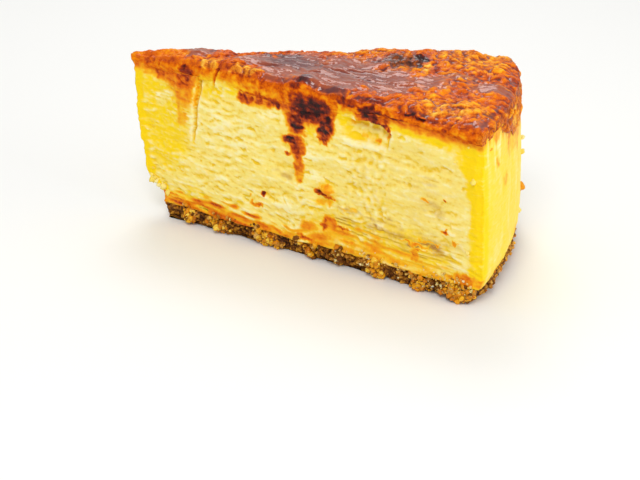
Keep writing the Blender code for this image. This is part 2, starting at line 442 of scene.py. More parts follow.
def shade(red, green, blue):
    """A colour as a screen shows it, 0 to 255, turned into the linear one that light works in."""
    screen = np.array([red, green, blue]) / 255
    light = np.where(screen <= 0.04045, screen / 12.92, ((screen + 0.055) / 1.055) ** 2.4)
    return tuple(float(part) for part in light)


def stops(*rows):
    """A ramp's stops. Each row is a place from 0 to 1 and then a colour as a screen shows it."""
    return tuple((place, shade(*colour)) for place, *colour in rows)


print("cream in linear light:", [round(part, 3) for part in shade(246, 222, 130)])

# %% [markdown]
# ## Painting with blots
#
# Burnt sugar has soaked into the cut face in patches that no rule foresees. Each patch is a blot: an oval
# with a place, a half length and a half height, all real sizes, and a strength. Noise shifts the edges of
# all blots together, so they come out ragged. The strongest blot at a point wins. Some blots are painted
# shade instead: shadows in the pocket and under the pit's lump, in a dent and in the sugar's slits.


# %% Blots
def paint(first, second, blots, rag, seed):
    """The strength of the strongest blot at each point. Each falls off softly with r, the distance from
    its middle as a share of its half sizes. Noise bends the places first, so that no blot stays an oval,
    and then makes the strength uneven."""
    bent_first = first + 0.5 * rag * flat_noise(first, second, rag, seed)
    bent_first += 0.22 * rag * flat_noise(first, second, 0.35 * rag, seed + 1)
    bent_second = second + 0.45 * rag * flat_noise(first, second, rag, seed + 2)
    bent_second += 0.22 * rag * flat_noise(first, second, 0.35 * rag, seed + 3)
    total = np.zeros_like(first)
    for middle, level, half_length, half_height, strength in blots.values():
        ring = np.hypot((bent_first - middle) / half_length, (bent_second - level) / half_height)
        total = np.maximum(total, strength * (1 - smooth_step(ring, 0.4, 1.4)))
    return total * (1 + 0.3 * flat_noise(first, second, 1.3, seed + 4))


def groove(distance, width):
    """The depth of a cut of some width: 1 in its middle and 0 beside it, as a bell."""
    return np.exp(-((distance / width) ** 2))


def raised(field, passes):
    """How far each point of a grid stands above those round it: the field less its own mean, which is
    taken over each point's neighbours a few times."""
    mean = field
    for _ in range(passes):
        around = [np.roll(mean, step, axis) for axis in (0, 1) for step in (-1, 1)]
        mean = (mean + sum(around)) / 5
    return field - mean


def raised_on_skin(relief, rows, passes):
    """The same for a wrapped skin of some rows, whose last two points are its poles."""
    return np.append(raised(relief[:-2].reshape(len(rows), -1), passes), [0, 0])


# Dark sugar that soaked into the near cut side, and painted shadows in the pocket and under the pit's
# lump: along, height, half length, half height, strength
SOAKED_AND_SHADOWED = {
    "dark patch under the blister": (66.5, 51.0, 7.6, 5.4, 0.88),
    "left part of the patch": (61.0, 49.0, 3.4, 4.4, 0.66),
    "right of the island": (72.0, 46.0, 3.0, 4.4, 0.84),
    "tongue right of the island": (71.2, 41.6, 1.7, 1.5, 0.66),
    "left of the island": (61.8, 45.0, 3.6, 3.4, 0.76),
    "lobe of the run": (60.6, 38.9, 4.2, 2.0, 0.74),
    "run": (62.6, 36.6, 2.5, 4.8, 0.6),
    "lower run": (62.9, 31.6, 2.1, 3.8, 0.44),
    "tail of the run": (62.8, 27.6, 1.9, 2.6, 0.27),
    "left edge of the run": (59.2, 34.4, 1.1, 0.9, 0.55),
    "patch at 43": (43.5, 48.9, 3.2, 2.1, 0.6),
    "patch at 49": (48.6, 49.6, 2.4, 1.9, 0.52),
    "patch at 54": (54.0, 49.8, 3.4, 1.9, 0.64),
    "upper corner of the flap": (21.8, 52.4, 3.0, 3.0, 0.66),
    "stain down the flap": (20.4, 46.0, 5.4, 6.0, 0.27),
    "streak down the flap": (20.2, 38.4, 2.6, 4.8, 0.2),
    "patch near the tip": (11.5, 50.8, 2.4, 1.6, 0.5),
    "dark patch over the pocket": (86.6, 52.4, 4.4, 2.3, 0.86),
    "painted shadow under the pocket's roof": (83.0, 49.2, 3.4, 1.0, 0.5),
    "shadow in the pocket": (88.4, 49.0, 3.0, 0.9, 0.42),
    "painted shadow at the back of the pocket": (90.0, 50.8, 3.8, 1.1, 0.9),
    "painted shadow at the end of the pocket": (93.0, 48.6, 0.8, 2.2, 0.74),
    "lumps in the pocket": (84.6, 46.4, 1.6, 1.0, 0.34),
    "edge of the pocket": (89.8, 45.2, 1.8, 1.0, 0.3),
    "lump in the pit": (72.8, 25.0, 3.4, 2.3, 0.34),
    "hole in the pit": (70.9, 23.8, 1.9, 1.2, 0.9),
    "painted shadow under the lump": (73.4, 22.4, 2.4, 0.8, 0.66),
    "painted shadow on the shelf under the pit": (72.0, 20.6, 4.0, 1.0, 0.2),
    "brown beside the pit": (81.0, 20.8, 3.6, 0.7, 0.14),
    "streak at 78": (78.4, 13.6, 3.2, 0.5, 0.5),
    "below the pit": (74.0, 14.0, 2.6, 2.8, 0.42),
    "left of the smear below the pit": (72.4, 12.8, 1.1, 2.2, 0.62),
    "dark speck": (50.0, 18.0, 0.9, 0.55, 1.0),
    "smear at 47": (47.6, 13.9, 2.4, 0.6, 0.4),
    "hook at 45": (45.2, 16.6, 0.5, 0.8, 0.3),
    "smear at 66": (66.4, 11.2, 3.4, 2.4, 0.32),
    "smear at 104": (103.8, 15.6, 5.0, 0.45, 0.36),
    "smear at 106": (106.6, 14.2, 4.4, 0.35, 0.3),
    "smear at 109": (108.6, 17.2, 4.6, 0.35, 0.28),
    "run to the biscuit": (103.6, 11.8, 1.5, 3.2, 0.3),
    "speck at 113": (113.6, 22.0, 1.2, 0.6, 0.62),
    "speck at 117": (117.0, 19.6, 1.2, 0.5, 0.36),
    "specks at 112": (112.6, 32.2, 0.6, 0.4, 0.6),
    "smudge at 108": (106.4, 30.6, 1.4, 0.5, 0.3),
    "under the biscuit's edge at 66": (66.0, 6.6, 4.0, 1.2, 0.5),
    "near corner": (120.5, 7.4, 4.4, 3.0, 0.36),
}
# The lower edge of the browned band on the near side: along, height
BROWNED_EDGE = (
    (0, 51.5), (6, 50.6), (12, 49.2), (17, 46.8), (24, 47.5), (26.2, 52.4), (33, 53.6), (40, 52.0),
    (43, 48.4), (50, 48.6), (56, 49.0), (59, 45.5), (65, 47), (74, 46), (76.5, 53.6), (82, 53.2),
    (84, 50.4), (92, 50.6), (93.8, 52.8), (102, 52.4), (110, 51.8), (117, 51.2), (124, 51.8),
)
# How high the golden butter has risen into the filling from the biscuit, and how strongly
BUTTER_EDGE = (
    (8, 9.5), (25, 11.0), (40, 10.5), (52, 9.5), (60, 8.5), (68, 12.5), (74, 15.0), (82, 14.5),
    (90, 15.0), (100, 13.5), (112, 10.5), (124, 9.5),
)
BUTTER_STRENGTH = (
    (8, 0.32), (20, 0.36), (48, 0.35), (60, 0.22), (70, 0.22), (84, 0.2), (96, 0.17), (112, 0.16),
    (124, 0.24),
)
# Where the filling is a clear strong yellow, in the same measures
YELLOW = {
    "tip behind": (8.0, 46.0, 7.0, 5.0, 0.85),
    "tip at 38": (7.4, 38.0, 2.6, 3.4, 0.7),
    "tip flap": (13.0, 32.0, 11.0, 18.0, 0.8),
    "tip at 30": (8.6, 30.0, 2.6, 2.2, 0.7),
    "tip at 22": (11.0, 21.0, 3.0, 2.4, 0.5),
    "patch on the flap": (15.5, 40.0, 5.0, 5.0, 0.55),
    "right of the crack": (30.0, 50.0, 5.0, 5.0, 0.85),
    "under the sugar at 40": (39.0, 51.0, 5.0, 3.4, 0.8),
    "island": (68.0, 45.0, 3.4, 2.6, 0.8),
    "right of the dark patch": (78.0, 50.6, 4.4, 4.0, 1.0),
    "in the pocket": (84.0, 46.6, 7.0, 2.6, 0.75),
    "under the sugar at 100": (104.0, 51.6, 17.0, 3.6, 0.95),
    "upper outer edge": (119.0, 48.0, 5.0, 5.0, 0.8),
    "low left": (26.0, 9.0, 16.0, 4.6, 0.62),
    "low middle": (78.0, 13.0, 14.0, 7.0, 0.66),
    "low right": (100.0, 13.0, 20.0, 7.0, 0.7),
    "round the pit": (71.5, 20.6, 5.0, 2.6, 0.6),
    "band at 95": (94.0, 27.0, 8.0, 2.6, 0.45),
}
# Where the clear yellow of the outer edge starts on the near side: height, along
YELLOW_EDGE = ((0, 122.8), (20, 122.0), (33, 120.8), (40, 118.8), (46, 117.0), (52, 116.2))
# Where it is paler than the rest, in the same measures
PALE = {
    "lumps under the pocket": (78.6, 42.6, 2.4, 1.5, 1.0),
    "ledge of the pocket": (87.0, 43.4, 5.6, 0.7, 0.8),
    "beside the run": (66.6, 36.0, 3.4, 3.0, 0.6),
    "under the patches": (52.0, 45.6, 5.4, 2.0, 0.7),
    "flap": (13.0, 43.0, 3.6, 1.6, 0.8),
    "middle": (38.0, 36.0, 12.0, 7.0, 0.45),
    "scoop": (60.0, 14.0, 5.0, 6.0, 0.55),
    "cream under the run": (69.0, 29.0, 4.0, 2.4, 0.7),
}
# Dull bruises, where sugar was dragged over the face, and painted shade in the dent beside the run, in
# the same measures
BRUISES_AND_DENT_SHADE = {
    "upper": (107.0, 36.5, 5.4, 2.8, 0.34),
    "lower": (109.0, 29.0, 5.0, 3.0, 0.4),
    "low": (99.0, 17.0, 20.0, 3.4, 0.46),
    "smears at 105": (106.4, 15.4, 7.0, 1.6, 1.1),
    "smears at 91": (92.0, 19.4, 6.0, 1.3, 0.8),
    "beside the pit": (81.0, 20.8, 4.0, 1.2, 0.8),
    "veil": (98.0, 32.0, 24.0, 16.0, 0.12),
    "painted shade in the dent beside the run": (58.4, 27.6, 4.0, 1.2, 0.5),
}
print("blots:", len(SOAKED_AND_SHADOWED), "soaked,", len(YELLOW), "yellow,", len(PALE), "pale")

# %% [markdown]
# ## Boiled sugar
#
# Sugar that boils sets as domes of every size that sit on each other. The function below adds three sets of
# packed domes and a few ridges that wind about. The sugar's own faces use it, and so do the crags where
# dark sugar soaked into the filling.


# %% Boiled sugar
def boiled(first, second):
    """How high boiled sugar stands, and how thin its skin is there, from 0 in a crease to 1 on a dome.
    Domes of three sizes sit on each other, each with its own height, among ridges that wind about."""
    bent_first = first + 1.1 * flat_noise(first, second, 3.0, 104)
    bent_first += 0.4 * flat_noise(first, second, 1.3, 106)
    bent_second = second + 1.1 * flat_noise(first, second, 2.8, 105)
    bent_second += 0.4 * flat_noise(first, second, 1.4, 107)
    big, big_gap, big_own = domes(0.8 * bent_first, bent_second, 3.8, 101)
    mid, mid_gap, mid_own = domes(0.85 * bent_first + 0.4, bent_second, 2.1, 102)
    small, _, small_own = domes(bent_first, bent_second + 0.2, 1.1, 103)
    ridges = 1 - 2 * np.abs(flat_noise(0.8 * first, second, 3.0, 108))
    ridges += 0.3 * flat_noise(first, second, 1.0, 109)
    height = 0.8 * big * big_own**1.5 + 0.56 * mid * mid_own + 0.2 * small * small_own + 0.3 * ridges
    thin = smooth_step(np.minimum(big_gap * 1.6, mid_gap * 2.0), 0.0, 0.35) * (0.2 + 0.8 * mid_own)
    return height - 0.55, thin


# %% [markdown]
# ## The filling
#
# The near side was cut with a blade that dragged the soft custard along, so its relief is long lips and
# creases that run with the cut. Noise that is stretched along the slice gives those. The lines aren't
# level: near the biscuit they slope down to the outer side. `drag_level` straightens them, so that one
# noise can follow them everywhere.


# %% Relief of the cut face
def drag_level(along, height):
    """The height at which the drag line through a point passes the middle of the slice."""
    slope = 0.015 + 0.06 * np.exp(-((height / 13) ** 2))
    scoop = 2.6 * groove(along - 60, 7) * smooth_step(22 - height, 0, 12)
    return height + (along - 60) * slope + scoop


def coarse_near_relief(points, along, height):
    """The solid's own relief of the near side: stretched noise, less the broad hollows."""
    relief = 0.8 * lattice_noise(points * (0.45, 1, 1), 6, 11)
    relief -= 1.1 * groove(along - 59, 6) * groove(height - 28.5, 3.2)
    relief -= 1.1 * groove(along - 66, 13) * groove(height - 12.5, 4)
    relief -= 0.8 * groove(along - 11, 5) * groove(height - 44, 6)
    relief -= 1.5 * groove(along - 72.3, 4.2) * groove(height - 22.4, 2.6)
    return relief


def pocket(along, height):
    """The torn pocket under the sugar: deepest below its roof, shallower down to its ledge."""
    torn = along + 0.9 * flat_noise(along, height, 2.4, 47)
    level = height + 0.9 * flat_noise(0.5 * along, height, 2.2, 48)
    roof = 51.0 - 0.022 * np.clip(torn - 84, 0, None) ** 2
    inside = smooth_step(torn, 76, 84) * fade(torn, 93.2, 94.2) * smooth_step(roof - level, 0, 0.6)
    depth = np.clip((level - 42.6) / (roof - 42.6), 0, 1) ** 0.8
    ledge = groove(level - 43.3, 0.8) * smooth_step(torn, 76, 81) * fade(torn, 91, 93.5)
    lumps = 0.5 * flat_noise(along, height, 1.8, 49) * inside
    return 2.9 * inside * depth - 0.6 * ledge - lumps


def from_cracks(along, height):
    """How far a point lies past each crack: the upright one at the flap's end and the one by the sugar."""
    wander = 0.35 * flat_noise(along, height, 3.0, 41)
    return along - (26.4 - 0.13 * (50 - height) + wander), along - (33.2 - 0.3 * (56 - height) + wander)


def flap_and_cracks(along, height):
    """The flap at the tip stands out, and ends at an upright crack. A second crack runs up to the sugar."""
    crack, second = from_cracks(along, height)
    above = smooth_step(height, 46, 50)
    relief = 1.1 * smooth_step(height, 29, 39) * fade(crack, -0.5, 0.2) * smooth_step(along, 12, 22)
    relief -= 1.6 * smooth_step(height, 28, 34) * groove(crack, 0.42)
    beside = 0.35 * above * fade(second, -0.4, 0.2) * smooth_step(second, -8, -2)
    return relief - 0.8 * above * groove(second, 0.33) - beside


def smears(along, level, seed):
    """Overlapping smears of custard, from -1 to 1: stretched noise with steep flanks, so that each smear
    is nearly flat and ends in an edge. Two sizes are added."""
    bend = 0.45 * flat_noise(0.6 * along, level, 4.5, seed)
    broad = np.tanh(4.0 * flat_noise(0.3 * along, level + bend, 1.9, seed + 1))
    narrow = np.tanh(3.5 * flat_noise(0.42 * along + 9, level + bend, 0.95, seed + 2))
    return 0.5 * broad + 0.5 * narrow


def small_pits(along, height, seed):
    """Pits that bubbles left: a few of a set of packed domes, turned inwards, from 0 to 1."""
    bend = 0.9 * flat_noise(along, height, 1.6, seed)
    dome, _, own = domes(0.8 * along + bend, 1.6 * height - bend, 2.2, seed + 1)
    return dome * smooth_step(own, 0.92, 0.97)


def scratches(along, height):
    """A few straight scratches low on the near side, from crumbs under the blade."""
    total = np.zeros_like(along)
    bend = 0.2 * flat_noise(0.2 * along, height, 2.0, 59)
    for number, line in enumerate((9.8, 10.8, 11.9, 12.7, 13.5, 14.6, 15.4, 16.6, 17.6)):
        present = smooth_step(flat_noise(along, np.full_like(along, line), 8.0, 60 + number), -0.25, 0.3)
        total += present * groove(height + 0.035 * (along - 75) - line + bend, 0.26)
    return total * smooth_step(along, 66, 78) * fade(along, 112, 122)


def drag_marks(along, height):
    """What the blade left: overlapping smears, a few creases and scratches, and curdled lumps near the
    tip."""
    level = drag_level(along, height)
    calm = smooth_step(along, 62, 72) * smooth_step(height, 18, 30)
    calm = np.maximum(calm, groove(along - 46, 14) * groove(height - 36, 9))
    force = 0.6 + 0.4 * np.clip(1.6 * flat_noise(0.6 * along, height, 8.0, 44), -1, 1)
    lips = 0.28 * force * smears(along, level, 51) + 0.13 * flat_noise(0.4 * along, level, 0.8, 58)
    creases = 1 - np.abs(flat_noise(0.2 * along, level, 2.2, 45))
    lips -= 0.3 * smooth_step(creases, 0.9, 1.0) * smooth_step(flat_noise(along, level, 5.0, 54), 0.0, 0.4)
    curdled = fade(along, 12, 36) * (1 - 0.4 * smooth_step(height, 40, 50))
    lumps = flat_noise(0.6 * along, 1.3 * height, 2.2, 55)
    lumps += 0.5 * flat_noise(0.8 * along, 1.3 * height, 1.0, 56)
    grain = 0.1 * flat_noise(along, height, 0.7, 57) - 0.4 * small_pits(along, level, 63)
    return lips * (1 - 0.5 * calm) + 0.26 * curdled * lumps + grain - 0.34 * scratches(along, height)


def near_relief(points, height):
    """All of the near side's relief, in millimetres outwards."""
    along = along_slice(points)
    relief = coarse_near_relief(points, along, height) + flap_and_cracks(along, height)
    relief += drag_marks(along, height) - pocket(along, height)
    hole = groove(along - 70.6, 1.1) * groove(height - 23.4, 0.9)
    lump = groove(along - 73.0, 2.3) * groove(height - 25.0, 1.5)
    crags = smooth_step(near_burn_and_shadow(along, height), 0.42, 0.7) * boiled(along, 1.2 * height)[0]
    return relief - hole + 2.0 * lump + 0.75 * crags


# %% Relief of the other sides
def far_relief(points, height):
    """The far cut side: the solid's noise with drag marks of its own."""
    along = along_slice(points)
    level = height + 0.03 * along
    relief = 0.9 * lattice_noise(points * (0.45, 1, 1), 6, 13) - 0.3
    relief += 0.3 * smears(along, level, 71) + 0.16 * flat_noise(0.4 * along, level, 0.9, 74)
    creases = 1 - np.abs(flat_noise(0.2 * along, level, 2.3, 46))
    return relief - 0.3 * smooth_step(creases, 0.9, 1.0)


def outer_relief(points, height):
    """The outer side, moulded by the tin: long upright ripples, and scraped stripes below the sugar."""
    relief = 0.35 * lattice_noise(points * (1, 1, 0.3), 8, 17)
    stripes = lattice_noise(points * (0, 1, 0.08), 1.1, 75) * smooth_step(height, 32, 48)
    return relief + 0.16 * stripes + 0.15 * lattice_noise(points * (1, 1, 0.6), 1.7, 76)


def torn_relief(points, height):
    """The torn tip: curdled lumps."""
    return 0.45 * lattice_noise(points, 4.2, 77) + 0.22 * lattice_noise(points, 1.3, 78)


# %% [markdown]
# The skin of the filling is one grid: round the wedge by up the layer. A row's height share runs past the
# rim in both directions, where the loops shrink towards the middle, because the sugar and the biscuit
# cover those faces and they need no detail. The relief then moves each point along its side's own
# direction.


# %% Build the filling
def stacked_rows(heights, insets):
    """The rows of a skin from the top down: loops that widen, the side's own rows, loops that narrow."""
    inward = [(1.0, inset) for inset in insets[::-1]]
    side = [(share, 0.0) for share in heights[::-1]]
    return np.array(inward + side + [(0.0, inset) for inset in insets])


# Where the loops under and over a layer close, as a share of the way from the tip to the outer side
MIDDLE_OUT = 0.64


def wrapped_skin(counts, rows, shape):
    """Points and faces of a closed skin. shape(out, across, up, rim) gives the places, where rim is 1 on
    the outside and falls to 0 in the middle of the upper and lower faces."""
    out, across = perimeter(*counts)
    up, inset = rows[:, :1], rows[:, 1:]
    shares = np.broadcast_arrays(out + (MIDDLE_OUT - out) * inset, across * (1 - inset), up, 1 - inset)
    points, relief = shape(*(share.ravel() for share in shares))
    loops = np.arange(len(rows) * len(out)).reshape(len(rows), -1)
    top, bottom = len(points), len(points) + 1
    poles = [points[loops[0]].mean(axis=0), points[loops[-1]].mean(axis=0)]
    triangles = np.concatenate([fan(top, loops[0], True), fan(bottom, loops[-1], False)])
    return np.concatenate([points, poles]), np.append(relief, [0, 0]), sew(loops), triangles


FILLING_COUNTS = (420, 84, 190, 12)
FILLING_ROWS = stacked_rows(np.linspace(0, 1, 128), (0.12, 0.5))
SUNK_INTO_SUGAR = 1.2
SUNK_INTO_BISCUIT = 1.0


def filling_shape(out, across, up, rim):
    """The baked filling: a wedge whose start follows the torn tip and whose end bulges low down, moved
    outwards by the relief of each side. The relief itself comes back too."""
    height = BASE_TOP + (SUGAR_BOTTOM - BASE_TOP) * up
    end = CAKE_RADIUS + read_off(OUTER_SIDE, height)
    places = plan_place(out, across, height, read_off(TORN_TIP, height), end)
    low, high = biscuit_top(places) - SUNK_INTO_BISCUIT, sugar_bottom(places) + SUNK_INTO_SUGAR
    height = low + (high - low) * up
    places[:, 2] = height
    near, far, outer, tip = side_shares(out, across)
    torn = torn_relief(places, height) * tip
    on_near = near_relief(places, height) * (1 - tip) + torn
    on_far = far_relief(places, height) * (1 - tip) + torn
    on_outer = outer_relief(places, height)
    places += ((on_near - 0.7 * outer) * near * rim)[:, None] * NEAR_NORMAL
    places += ((on_far - 0.7 * outer) * far * rim)[:, None] * FAR_NORMAL
    places += ((on_outer - 0.5 * (near + far)) * outer * rim)[:, None] * OUTER_NORMAL
    places -= (torn * rim)[:, None] * OUTER_NORMAL
    relief = on_near * near + on_far * far + on_outer * outer * (1 - near) * (1 - far) + torn * (1 - near)
    return places, relief


def turn_share(points):
    """Which way round the wedge a point lies: -1 on the near cut side, 1 on the far one."""
    return np.arctan2(points[:, 1], points[:, 0] - TIP_X) / HALF


def near_burn_and_shadow(along, height):
    """How burnt the near cut side is, from 0 for plain filling to 1 for black: the browned band under
    and on the sugar, and the blots of dark sugar that soaked in. It also holds painted shade: shadows in
    the pocket and under the pit's lump, and shade along the two cracks."""
    edge = read_off(BROWNED_EDGE, along) + 0.9 * flat_noise(along, height, 3.0, 81)
    edge += 0.5 * flat_noise(along, height, 1.2, 82)
    mottle = 0.16 * flat_noise(along, height, 2.4, 83) + 0.1 * flat_noise(along, height, 1.0, 84)
    pale_band = 0.26 * groove(along - 44, 14) * groove(height - 52.0, 2.2) + 0.1 * fade(along, 6, 22)
    band = (0.44 + mottle - pale_band) * smooth_step(height - edge, -2.6, 1.4)
    streaks = 0.5 * flat_noise(0.2 * along, drag_level(along, height), 1.3, 85)
    blots = paint(along, height + streaks, SOAKED_AND_SHADOWED, 2.6, 86) * (1 + 0.3 * flat_noise(along, height, 2.3, 79))
    butter_edge = read_off(BUTTER_EDGE, along) + 5.0 * streaks + 1.2 * flat_noise(along, height, 3.0, 80)
    butter = read_off(BUTTER_STRENGTH, along) * np.clip(1 + 2.0 * streaks, 0.2, 1.6)
    butter *= smooth_step(butter_edge - height, -1.0, 3.0)
    crack, second = from_cracks(along, height)
    # Painted shade along the cracks: beside the upright crack at the flap's end, and in the crack by the
    # sugar.
    crack_shade = 0.34 * groove(crack + 0.3, 0.6) * smooth_step(height + 6 * mottle, 36, 48)
    crack_shade = np.maximum(crack_shade, 0.4 * groove(second, 0.5) * smooth_step(height, 47, 52))
    crack_shade = np.maximum(crack_shade, (0.24 + mottle) * groove(crack + 2.6, 3.0) * smooth_step(height, 36, 47))
    return np.maximum.reduce([band, butter, blots, crack_shade])


# How far the sugar ran down the outer side, along Y
OUTER_RUN = (
    (-31, 0.0), (-22, 0.4), (-15, 1.8), (-9, 3.8), (-4, 5.8), (2, 8.0), (10, 10.4), (18, 9.4), (24, 5.0),
    (29, 0.6), (31, 0.0),
)
# Spots on the outer side: along Y, height, half width, half height, strength
OUTER_SPOTS = {
    "orange spot": (-14.0, 35.0, 2.0, 3.0, 0.2),
    "high orange spot": (-21.0, 44.0, 1.6, 2.2, 0.24),
    "brown speck": (-26.0, 48.5, 0.7, 0.7, 0.5),
    "under the run": (2.0, 44.0, 14.0, 5.0, 0.16),
    "streak under the run": (-8.0, 46.0, 1.4, 6.0, 0.26),
    "second streak under it": (4.0, 42.0, 1.6, 6.0, 0.24),
    "far orange spot": (25.0, 16.5, 4.0, 2.4, 0.36),
    "upper far spot": (18.0, 43.0, 3.0, 4.0, 0.2),
    "low spot": (4.0, 10.0, 6.0, 3.0, 0.16),
}


def outer_marks(y, height, below):
    """How soaked the outer side is, under and round the run of sugar, and how pale its stripes are. below
    is how far under the sugar's edge a point lies."""
    strokes = flat_noise(y, 0.15 * height, 1.3, 90)
    past_run = below - read_off(OUTER_RUN, y)
    tinted = (0.22 + 0.2 * strokes) * smooth_step(3.0 * strokes - past_run, -3.5, 0.5)
    soaked = np.maximum(tinted, paint(y, height, OUTER_SPOTS, 4.0, 93))
    stripes = flat_noise(y, 0.1 * height, 1.6, 88) + 0.04 * (height - 44)
    pale = 0.7 * smooth_step(stripes, 0.05, 0.5)
    return soaked, np.maximum(pale, 0.5 * smooth_step(flat_noise(y, 0.3 * height, 4.0, 92), 0.0, 0.6))


def far_soaked(along, height, below, streaks):
    """How soaked the far cut side is: brown clouds, a band under the sugar and butter over the biscuit."""
    clouds = 0.75 * smooth_step(flat_noise(along, 1.4 * height, 9.0, 94) - 0.1 * below, -0.3, 0.5)
    band = 0.45 * smooth_step(1.4 * flat_noise(along, height, 3.0, 95) - below, -3, 0)
    butter = 0.42 * smooth_step(12 - height + 3 * streaks, 3, 8)
    return np.maximum.reduce([clouds, band, butter])


def clear_yellow(along, height, near, far, outer):
    """How clear a yellow the filling is: in its blots, at the torn tip and the outer edge of the near
    side, in clouds on the far side, and all over the outer one."""
    from_tip = along - read_off(TORN_TIP, height) + 1.2 * flat_noise(along, height, 4.0, 96)
    edge_starts = read_off(YELLOW_EDGE, height) + 1.4 * flat_noise(along, height, 4.0, 98)
    edge = smooth_step(along - edge_starts, -1.6, 1.0)
    on_near = np.maximum.reduce([paint(along, height, YELLOW, 5.0, 97), fade(from_tip, 1.6, 4.6), edge])
    swells = flat_noise(along, height, 14.0, 99) + 0.6 * groove(along - 4, 7) + 0.7 * groove(along - 122, 5)
    return np.clip(near * on_near + 0.7 * far * smooth_step(swells, -0.1, 0.8) + 0.72 * outer, 0, 1)


def filling_marks(points, relief):
    """What the finish reads at each point: how soaked, yellow, pale and bruised the filling is there,
    whether the point lies on a lip or in a crease, and which smear it is part of. The soaked and bruised
    marks also hold painted shadows, and the finish paints lips and raised smears paler and creases golden,
    as painted highlight and painted shade."""
    along, height = along_slice(points), points[:, 2]
    turn = turn_share(points)
    near, far = fade(turn, -0.97, -0.86), smooth_step(turn, 0.86, 0.97)
    outer = smooth_step(along, CAKE_RADIUS - 3.2, CAKE_RADIUS - 1.2) * (1 - 0.85 * near)
    below = sugar_bottom(points) - height
    level = drag_level(along, height)
    streaks = flat_noise(0.2 * along, level, 1.3, 85)
    outer_soaked, outer_pale = outer_marks(points[:, 1], height, below)
    # The soaked mark also holds painted shadows: in the pocket, under the pit's lump and along the cracks.
    soaked = near * np.clip(near_burn_and_shadow(along, height), 0, 1) + far * far_soaked(along, height, below, streaks)
    scratched = near * scratches(along, height)
    # The bruise mark also holds the painted shade in the dent beside the run.
    bruise = paint(along, height + 0.6 * streaks, BRUISES_AND_DENT_SHADE, 6.0, 89)
    bruise *= 0.35 + smooth_step(streaks, -0.35, 0.4)
    lip = np.clip(4.5 * raised_on_skin(relief, FILLING_ROWS, 14), -1, 1)
    smear = near * smears(along, level, 51) + far * smears(along, height + 0.03 * along, 71)
    return {
        "soaked": np.maximum(soaked, outer * outer_soaked),
        "yellow": clear_yellow(along, height, near, far, outer),
        "pale": np.maximum(near * paint(along, height, PALE, 4.0, 87), outer * outer_pale),
        "bruise": np.maximum(near * bruise, 1.1 * scratched),
        "lip": lip * (1 - 0.7 * outer),
        "smear": smear - 1.2 * scratched,
    }


filling_points, filling_relief, filling_quads, filling_triangles = wrapped_skin(
    FILLING_COUNTS, FILLING_ROWS, filling_shape
)
print("filling:", len(filling_points), "points, from", filling_points.min(axis=0).round(1),
      "to", filling_points.max(axis=0).round(1))

# %% [markdown]
# Custard lets light in a little way and sends it back warmer, so the finish has some subsurface light. Its
# colour starts as cream, goes to clear yellow where the mask says so, and then to amber, brown and nearly
# black where sugar soaked in and where shadows are painted. Lips are painted paler, as a painted
# highlight, and creases golden, as painted shade. The soaked patches are also wet, which a thin coat shows.

# %% Finish of the filling
CREAM = shade(251, 227, 122)
PALE_CREAM_AND_HIGHLIGHT = shade(255, 243, 186)
CLEAR_YELLOW = shade(253, 214, 6)
CREASE_SHADE_GOLD = shade(238, 196, 34)
BRUISED_AND_SHADED = shade(184, 128, 58)
BURN_STOPS = stops(
    (0.0, 254, 216, 40), (0.16, 250, 190, 26), (0.3, 240, 146, 12), (0.44, 222, 104, 2), (0.57, 180, 66, 4),
    (0.7, 134, 38, 4), (0.84, 86, 16, 4), (1.0, 38, 8, 6),
)


def filling_finish():
    """The filling's material: cream, lips painted paler as a painted highlight, creases painted golden as
    painted shade, clear yellow, bruises and then burns, which also paint shadows.
    """
    recipe = Recipe("baked filling", Specular_IOR_Level=0.12, Subsurface_Weight=0.2, Coat_Roughness=0.12,
                    Subsurface_Radius=(1.0, 0.6, 0.2), Subsurface_Scale=0.0015)
    soaked, yellow, lip = recipe.attribute("soaked"), recipe.attribute("yellow"), recipe.attribute("lip")
    smear = recipe.attribute("smear")
    streak = recipe.noise(1.3, detail=5.0, stretch=(2.6, 2.6, 0.7))
    fine = recipe.noise(0.8)
    # Lips and raised smears are painted paler: a painted highlight.
    light = recipe.attribute("pale") * 0.7 + lip * 0.6 + smear * 0.3 + (streak - 0.5) * 1.1
    tone = recipe.mix(CREAM, PALE_CREAM_AND_HIGHLIGHT, light.step(-0.1, 1.0))
    # Hollows, creases and scratches are painted golden: painted shade.
    crease_shade = (0.5 - streak) * 1.2 - lip - smear * 0.4
    tone = recipe.mix(tone, CREASE_SHADE_GOLD, crease_shade.step(0.05, 1.15))
    # Lips also take less yellow, as part of the painted highlight.
    clear = yellow * (1.45 - streak * 0.9 - recipe.attribute("pale") * 0.6) - lip * 0.25
    tone = recipe.mix(tone, CLEAR_YELLOW, clear.step(0.1, 1.0))
    # Bruised brown, which also paints the shade in the dent beside the run.
    tone = recipe.mix(tone, BRUISED_AND_SHADED, recipe.attribute("bruise") * (fine * 0.8 + 0.4))
    # The burn ramp also paints the shadows among the soaked marks, and soaked lips are painted lighter, as a
    # painted highlight.
    level = soaked * ((fine - 0.5) * 0.6 + (streak - 0.5) * 0.5 + 1.0) - lip * soaked * 0.2
    tone = recipe.mix(tone, recipe.ramp(level, BURN_STOPS), level.step(0.02, 0.2))
    skin = recipe.noise(0.45, stretch=(2.0, 2.0, 1.0))
    wet = soaked.step(0.45, 0.85)
    return recipe.finish(Base_Color=tone, Roughness=0.5 - wet * 0.1, Coat_Weight=wet * 0.18 + 0.03,
                         Normal=recipe.bump(skin, 0.1))


filling = make_piece("filling_cut", filling_points, filling_quads, filling_triangles,
                     filling_marks(filling_points, filling_relief), filling_finish())
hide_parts("cheese_filling")

